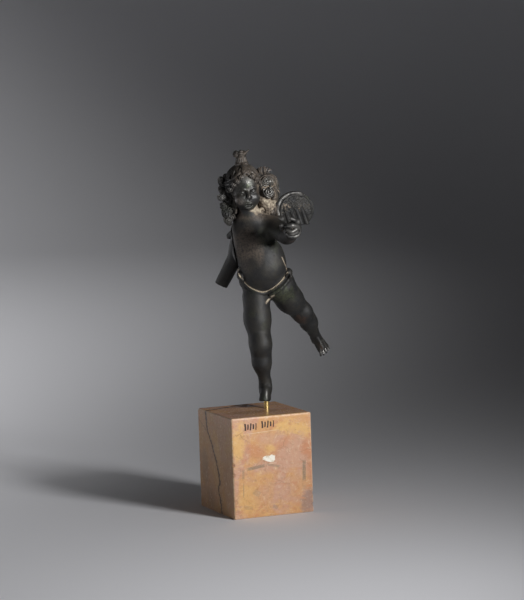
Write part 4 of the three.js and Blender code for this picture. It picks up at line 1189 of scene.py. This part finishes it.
def marbleFinish():
    f = Finish("pinkMarble")
    cloud = f.noise(13, 5, 0.55, stretch=(1, 1, 0.7), warp=1.2)
    swirl = f.noise(6, 6, 0.6, stretch=(0.8, 1, 1.3), shift=(40, 0, 0), warp=2.0)
    grainy, fine = f.noise(1.6, 5, 0.65), f.noise(0.5, 3, 0.6)
    stone = f.mix(f.step(cloud, 0.38, 0.6), marble["honey"], marble["pink"])
    stone = f.mix(f.step(swirl, 0.5, 0.68) * 0.6, stone, marble["rose"])
    stone = f.mix(f.step(swirl, 0.44, 0.3) * 0.55, stone, marble["yellow"])
    ragged = (swirl - 0.5) * 2.2 + (grainy - 0.5) * 0.5
    for colour, middle, half, turn, strength in patches:
        stone = f.mix(f.region(middle, half, turn, 0.45, ragged) * strength, stone, marble[colour])
    blotch = f.noise(2.6, 5, 0.6, shift=(7, 11, 5), warp=1.5)
    stone = f.mix(f.step(blotch, 0.54, 0.7) * 0.35, stone, marble["pale"])
    stone = f.mix(f.step(blotch, 0.46, 0.3) * 0.3, stone, marble["rose"])
    stone = f.mix(f.step(grainy, 0.5, 0.75) * 0.4, stone, marble["brown"])
    stone = f.mix(f.step(grainy, 0.42, 0.25) * 0.35, stone, marble["pale"])
    # fine cracks all over, and the brown vein
    push = {0: f.noiseColour(7), 1: (9, 9, 9), 2: f.place}
    bent = {"Vector": f.add("ShaderNodeVectorMath", {"operation": "MULTIPLY_ADD"}, push), "Scale": 1 / 17}
    cells = f.add("ShaderNodeTexVoronoi", {"feature": "DISTANCE_TO_EDGE"}, bent, "Distance")
    hairline = (1 - f.step(cells, 0.0, 0.018)) * f.step(cloud, 0.42, 0.6)
    stone = f.mix(hairline * 0.45, stone, marble["brown"])
    right, middleHeight = block["half"][0], block["half"][2]
    low, high = vein["places"][0], vein["places"][-1]
    tall = vein["heights"][-1]
    stops = [(z / tall, (y - low) / (high - low)) for z, y in zip(vein["heights"], vein["places"])]
    up = f.axis("Z") * (1 / tall)
    line = f.add("ShaderNodeValToRGB", {"stops": stops}, {0: up}) * (high - low) + low
    away = f.axis("Y") - line - (f.axis("X") + right) * vein["slant"]
    away = away + (grainy - 0.5) * 3.4 + (swirl - 0.5) * 3.0
    leftPart = 1 - f.step(f.axis("X"), -6, 4)
    crack = (1 - f.step(abs(away), 0.3, 1.2)) * leftPart
    halo = (1 - f.step(abs(away), 0.4, 3.0)) * leftPart
    # a thinner vein beside it
    branch = f.axis("Z") - 34 - f.axis("Y") * 0.5 + (grainy - 0.5) * 2 + (swirl - 0.5) * 3
    branch = (1 - f.step(abs(branch), 0.15, 0.8)) * f.step(f.axis("Y"), 10, 12) * leftPart
    stone = f.mix(halo * 0.4 | branch * 0.7, stone, marble["brown"])
    stone = f.mix(crack * 0.9, stone, marble["vein"])
    front = 1 - f.step(f.axis("Y"), -22.9, -22.4)  # 1 on the front face
    marks = 0.0  # the darkest of the traces at each place
    for middle, half, turn, strength in traces:
        marks = f.region(middle, half, turn, 0.2, (fine - 0.5) * 0.9, True) * strength | marks
    marks = marks * front * f.step(fine, 0.25, 0.5)
    stone = f.mix(marks, stone, marble["trace"])
    underline = f.region((-5.2, -23, 42.3), (7.4, 1, 0.14), -3, 0.4, 0.0, True) * front
    scratch = f.region((-0.3, -23, 26.3), (1.9, 1, 0.16), -3, 0.4, 0.0, True) * front
    pits = f.step(f.noise(0.8, 2, 0.5, shift=(9, 3, 7)), 0.66, 0.72)
    stone = f.mix((underline | scratch) * 0.6, stone, marble["pale"])
    stone = f.mix(pits * 0.35, stone, marble["pale"])
    # near two faces at once is near an edge, and the edges are painted paler there as a painted highlight
    outward = (abs(f.axis("X")), abs(f.axis("Y")), abs(f.axis("Z") - middleHeight))
    beside = [f.step(reach, half - 0.7, half - 0.1) for reach, half in zip(outward, block["half"])]
    edges = beside[0] * beside[1] | beside[1] * beside[2] | beside[0] * beside[2]
    stone = f.mix(edges * f.step(grainy, 0.35, 0.55) * 0.7, stone, marble["pale"])
    top = f.step(f.axis("Z"), 49.2, 49.8)
    height = 0.5 - pits * 0.5 - crack * 0.8 - hairline * 0.15 + fine * 0.03 + swirl * 0.1
    return f.done(
        Base_Color=stone,
        Roughness=0.42 - top * 0.16 + (grainy - 0.5) * 0.1 + edges * 0.15 + marks * 0.2 + pits * 0.15,
        Coat_Weight=top * (0.08 + swirl * 0.14),  # the top is polished
        Coat_Roughness=0.2,
        Specular_IOR_Level=0.3,
        Normal=f.bump(height, 0.12),
    )


class Nodes:
    # a Geometry Nodes tree made a node at a time, with named inputs
    def __init__(self, name, **inputs):
        self.tree = bpy.data.node_groups.new(name, "GeometryNodeTree")
        self.tree.interface.new_socket("Geometry", in_out="OUTPUT", socket_type="NodeSocketGeometry")
        self.names = {}
        for label, value in inputs.items():
            kind = "NodeSocketInt" if isinstance(value, int) else "NodeSocketFloat"
            kind = "NodeSocketMaterial" if label == "material" else kind
            socket = self.tree.interface.new_socket(label, in_out="INPUT", socket_type=kind)
            self.names[label] = socket.identifier
        self.inputs, self.values = self.tree.nodes.new("NodeGroupInput"), inputs

    def get(self, label):
        return self.inputs.outputs[label]

    def add(self, kind, settings=None, sockets=None, out=0):
        node = self.tree.nodes.new(kind)
        for name, value in (settings or {}).items():
            setattr(node, name, value)
        for name, value in (sockets or {}).items():
            if isinstance(value, bpy.types.NodeSocket):
                self.tree.links.new(value, node.inputs[name])
            else:
                node.inputs[name].default_value = value
        return node.outputs[out]

    def build(self, name, geometry):
        real = self.add("GeometryNodeRealizeInstances", None, {0: geometry})
        done = self.add("GeometryNodeSetMaterial", None, {0: real, "Material": self.get("material")})
        self.tree.links.new(done, self.tree.nodes.new("NodeGroupOutput").inputs[0])
        piece = link(name, bpy.data.meshes.new(name))
        modifier = piece.modifiers.new("build", "NODES")
        modifier.node_group = self.tree
        for label, value in self.values.items():
            modifier[self.names[label]] = value
        return applied(piece)


ink = {
    "groups": ((-14.0, 43.7, 5, 1.42), (-5.0, 44.3, 5, 1.48)),  # left end, foot, strokes, spacing
    "tall": 3.3,
    "thick": 0.36,
    "bow": 0.22,  # how far a stroke bends
    "lean": 0.2,  # radians to either side
    "smallest": (0.75, 0.12, 0.72),  # a stroke across, in depth and up, as shares of its plain size
    "largest": (1.25, 0.12, 1.08),
    "front": -23.15,
    "seed": 12,
}


def makeInk(name, left, foot, strokes, spacing):
    # a row of short strokes of uneven height and lean, painted flat on the front
    sizes = {"spacing": spacing / metre, "tall": ink["tall"] / metre, "thick": ink["thick"] / metre}
    g = Nodes("inkRow", strokes=strokes, **sizes, seed=ink["seed"], material=inkFinish())
    step = g.add("ShaderNodeCombineXYZ", None, {"X": g.get("spacing")})
    start = tuple(v / metre for v in (left, ink["front"] - 0.01, foot + ink["tall"] / 2))
    row = {"Count": g.get("strokes"), "Start Location": start, "Offset": step}
    points = g.add("GeometryNodeMeshLine", None, row)
    end = g.add("ShaderNodeCombineXYZ", None, {"Z": g.get("tall")})
    aside = {0: end, 1: (0, 0, 0.5), 2: (ink["bow"] / metre, 0, 0)}
    bow = g.add("ShaderNodeVectorMath", {"operation": "MULTIPLY_ADD"}, aside)
    bent = {"Resolution": 6, "Start": (0, 0, 0), "Middle": bow, "End": end}
    curve = g.add("GeometryNodeCurveQuadraticBezier", None, bent)
    brush = g.add("GeometryNodeCurvePrimitiveCircle", None, {"Resolution": 10, "Radius": g.get("thick")})
    swept = {"Curve": curve, "Profile Curve": brush, "Fill Caps": True}
    stroke = g.add("GeometryNodeCurveToMesh", None, swept)
    down = (0, 0, -ink["tall"] / 2 / metre)
    centred = g.add("GeometryNodeTransform", None, {"Geometry": stroke, "Translation": down})
    vectors = {"data_type": "FLOAT_VECTOR"}
    leans = {0: (0, -ink["lean"], 0), 1: (0, ink["lean"], 0), "Seed": g.get("seed")}
    lean = g.add("FunctionNodeRandomValue", vectors, leans)
    scales = {0: ink["smallest"], 1: ink["largest"], "Seed": g.get("seed")}
    size = g.add("FunctionNodeRandomValue", vectors, scales)
    strewn = {"Points": points, "Instance": centred, "Rotation": lean, "Scale": size}
    return g.build(name, g.add("GeometryNodeInstanceOnPoints", None, strewn))


def inkFinish():
    f = Finish("oldInk")
    worn = f.step(f.noise(0.7, 3, 0.6), 0.45, 0.65)
    colour = f.mix(worn, paint(38, 26, 20), paint(84, 56, 40))
    return f.done(Base_Color=colour, Roughness=0.55 + worn * 0.2)


paper = {
    "middle": at(-1.7, -23.17, 28.9),
    "wide": 3.1,
    "high": 1.95,
    "thick": 0.09,
    "lift": 0.05,  # how far its edge stands off the stone
    "sides": 48,
    "rings": 5,
    "seed": 5,
}


def makePaper():
    # a torn flake of an old paper label, with its edges lifting a little
    sides, rings = paper["sides"], paper["rings"]
    angles = np.linspace(0, 2 * math.pi, sides, endpoint=False)
    torn = np.random.default_rng(paper["seed"]).normal(0, 0.05, sides)
    outline = 1 + 0.1 * np.cos(2 * angles + 0.6) - 0.1 * np.cos(3 * angles + 0.4)
    outline = outline - 0.2 * np.exp(-8 * (angles - 1.6) ** 2) + torn  # with a notch above
    points, faces = [tuple(paper["middle"])], []
    for ring in range(1, rings + 1):
        for i, angle in enumerate(angles):
            r = ring / rings * outline[i]
            lift = paper["lift"] * (ring / rings) ** 4 * (1 + math.sin(3 * angle))
            away = at(paper["wide"] * r * math.cos(angle), -lift, paper["high"] * r * math.sin(angle))
            points.append(tuple(paper["middle"] + away))
    for i in range(sides):
        j = (i + 1) % sides
        faces.append((0, 1 + i, 1 + j))
        for ring in range(rings - 1):
            a, b = 1 + sides * ring, 1 + sides * (ring + 1)
            faces.append((a + i, b + i, b + j, a + j))
    mesh = bpy.data.meshes.new("paper_flake")
    mesh.from_pydata([tuple(np.array(p) / metre) for p in points], [], faces)
    piece = link("paper_flake", mesh)
    solid = piece.modifiers.new("thick", "SOLIDIFY")
    solid.thickness, solid.offset = paper["thick"] / metre, -1
    return applied(piece)


def paperFinish():
    f = Finish("oldPaper")
    fibre = f.noise(0.5, 4, 0.6, stretch=(1, 1, 2.5))
    stained = f.step(f.noise(1.5, 3), 0.45, 0.7)
    colour = f.mix(stained, paint(236, 231, 218), paint(205, 190, 162))
    return f.done(Base_Color=colour, Roughness=0.8 + fibre * 0.1, Normal=f.bump(fibre, 0.05))


pin = {
    "rings": 46,  # faint marks of the file round the pin
    "depth": 0.05,  # of the deepest mark
    "sides": 40,
    "seed": 3,
}


def makePin():
    low, high = (np.array(corner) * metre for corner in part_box("brass_pin"))
    wide = (high[0] - low[0]) / 2
    sizes = {"wide": wide / metre, "depth": pin["depth"] / metre}
    g = Nodes("filedPin", rings=pin["rings"], **sizes, seed=pin["seed"], material=brassFinish())
    middle = (low + high) / 2
    ends = [(middle[0] / metre, middle[1] / metre, z / metre) for z in (low[2], high[2])]
    line = g.add("GeometryNodeCurvePrimitiveLine", None, {"Start": ends[0], "End": ends[1]})
    count = g.add("ShaderNodeMath", {"operation": "MULTIPLY"}, {0: g.get("rings"), 1: 2.0})
    line = g.add("GeometryNodeResampleCurve", None, {"Curve": line, "Count": count})
    share = {2: 0.0, 3: 1.0, "Seed": g.get("seed")}
    uneven = g.add("FunctionNodeRandomValue", {"data_type": "FLOAT"}, share, 1)
    cut = g.add("ShaderNodeMath", {"operation": "MULTIPLY"}, {0: uneven, 1: g.get("depth")})
    radius = g.add("ShaderNodeMath", {"operation": "SUBTRACT"}, {0: g.get("wide"), 1: cut})
    section = g.add("GeometryNodeCurvePrimitiveCircle", None, {"Resolution": pin["sides"], "Radius": 1.0})
    swept = {"Curve": line, "Profile Curve": section, "Scale": radius, "Fill Caps": True}
    return g.build("filed_pin", g.add("GeometryNodeCurveToMesh", None, swept))


def brassFinish():
    f = Finish("brass")
    streak = f.noise(0.6, 3, 0.5, stretch=(1, 1, 4))
    stain = f.step(f.noise(2.2, 3, 0.6), 0.42, 0.62)
    colour = f.mix(stain * 0.6, paint(208, 184, 122), paint(132, 102, 56))
    return f.done(Base_Color=colour, Metallic=0.9 - stain * 0.2, Roughness=0.3 + streak * 0.15 + stain * 0.1)


def dress(piece, material, node):
    if material:
        piece.data.materials.clear()
        piece.data.materials.append(material)
    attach(piece, "root")
    if node:
        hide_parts(node)
    print(piece.name, len(piece.data.polygons), "faces")


studio = {
    "drum": 2.6,  # metres: radius of the pale surround, which curves up out of the floor
    "bend": 0.9,  # radius of that curve
    "wall": 0.62,  # how high it goes
    "sides": 96,
    "paint": paint(224, 224, 228),
    "world": 0.027,  # strength of the light from all round
}


def makeStudio():
    sides, bend = studio["sides"], studio["bend"]
    flat = studio["drum"] - bend
    profile = [(flat * k / 6, 0) for k in range(1, 7)]
    for a in np.linspace(0, math.pi / 2, 13)[1:]:
        profile.append((flat + bend * math.sin(a), bend * (1 - math.cos(a))))
    profile = [(r, z) for r, z in profile if z < studio["wall"]]
    angles = [i / sides * 2 * math.pi for i in range(sides)]
    points = [(r * math.cos(a), r * math.sin(a), z) for r, z in profile for a in angles] + [(0, 0, 0)]
    faces = [(len(points) - 1, i, (i + 1) % sides) for i in range(sides)]
    for ring in range(len(profile) - 1):
        for i in range(sides):
            j = (i + 1) % sides
            a, b = ring * sides, (ring + 1) * sides
            faces.append((a + i, b + i, b + j, a + j))
    mesh = bpy.data.meshes.new("paleFloor")
    mesh.from_pydata(points, [], faces)
    mesh.shade_smooth()
    floor = link("paleFloor", mesh)
    f = Finish("palePaper")
    mesh.materials.append(f.done(Base_Color=studio["paint"], Roughness=0.9))
    world = bpy.data.worlds.new("softSky")
    world.use_nodes = True
    world.node_tree.nodes["Background"].inputs[0].default_value = (1, 1, 1, 1)
    world.node_tree.nodes["Background"].inputs[1].default_value = studio["world"]
    bpy.context.scene.world = world
    bpy.context.scene.view_settings.view_transform = "Standard"


lamps = {  # metres, degrees and watts
    "key": {
        "place": (0.176, -0.501, 0.222),
        "target": (-0.517, 0.209, 0.6),
        "size": 0.11,
        "spread": 133.2,
        "power": 3.95,
    },
    "backdrop": {
        "place": (-1.069, -0.504, 1.968),
        "target": (-1.132, 1.163, -0.107),
        "size": 0.3,
        "spread": 69.4,
        "power": 26.8,
    },
}


def makeLamps():
    for name, lamp in lamps.items():
        light = bpy.data.lights.new(name, "AREA")
        light.energy, light.size, light.spread = lamp["power"], lamp["size"], math.radians(lamp["spread"])
        holder = bpy.data.objects.new(name, light)
        place, target = Vector(lamp["place"]), Vector(lamp["target"])
        holder.location = place
        holder.rotation_euler = (target - place).to_track_quat("-Z", "Y").to_euler()
        holder.visible_camera = False
        bpy.context.scene.collection.objects.link(holder)


makeStudio()
makeLamps()
print("studio set")
dress(makeFigurine(), bronzeFinish(), "bronze_figurine")
dress(makeBlock(), marbleFinish(), "marble_block")
dress(makePin(), None, "brass_pin")
for number, row in enumerate(ink["groups"]):
    dress(makeInk(f"ink_strokes_{number + 1}", *row), None, None)
dress(makePaper(), paperFinish(), None)
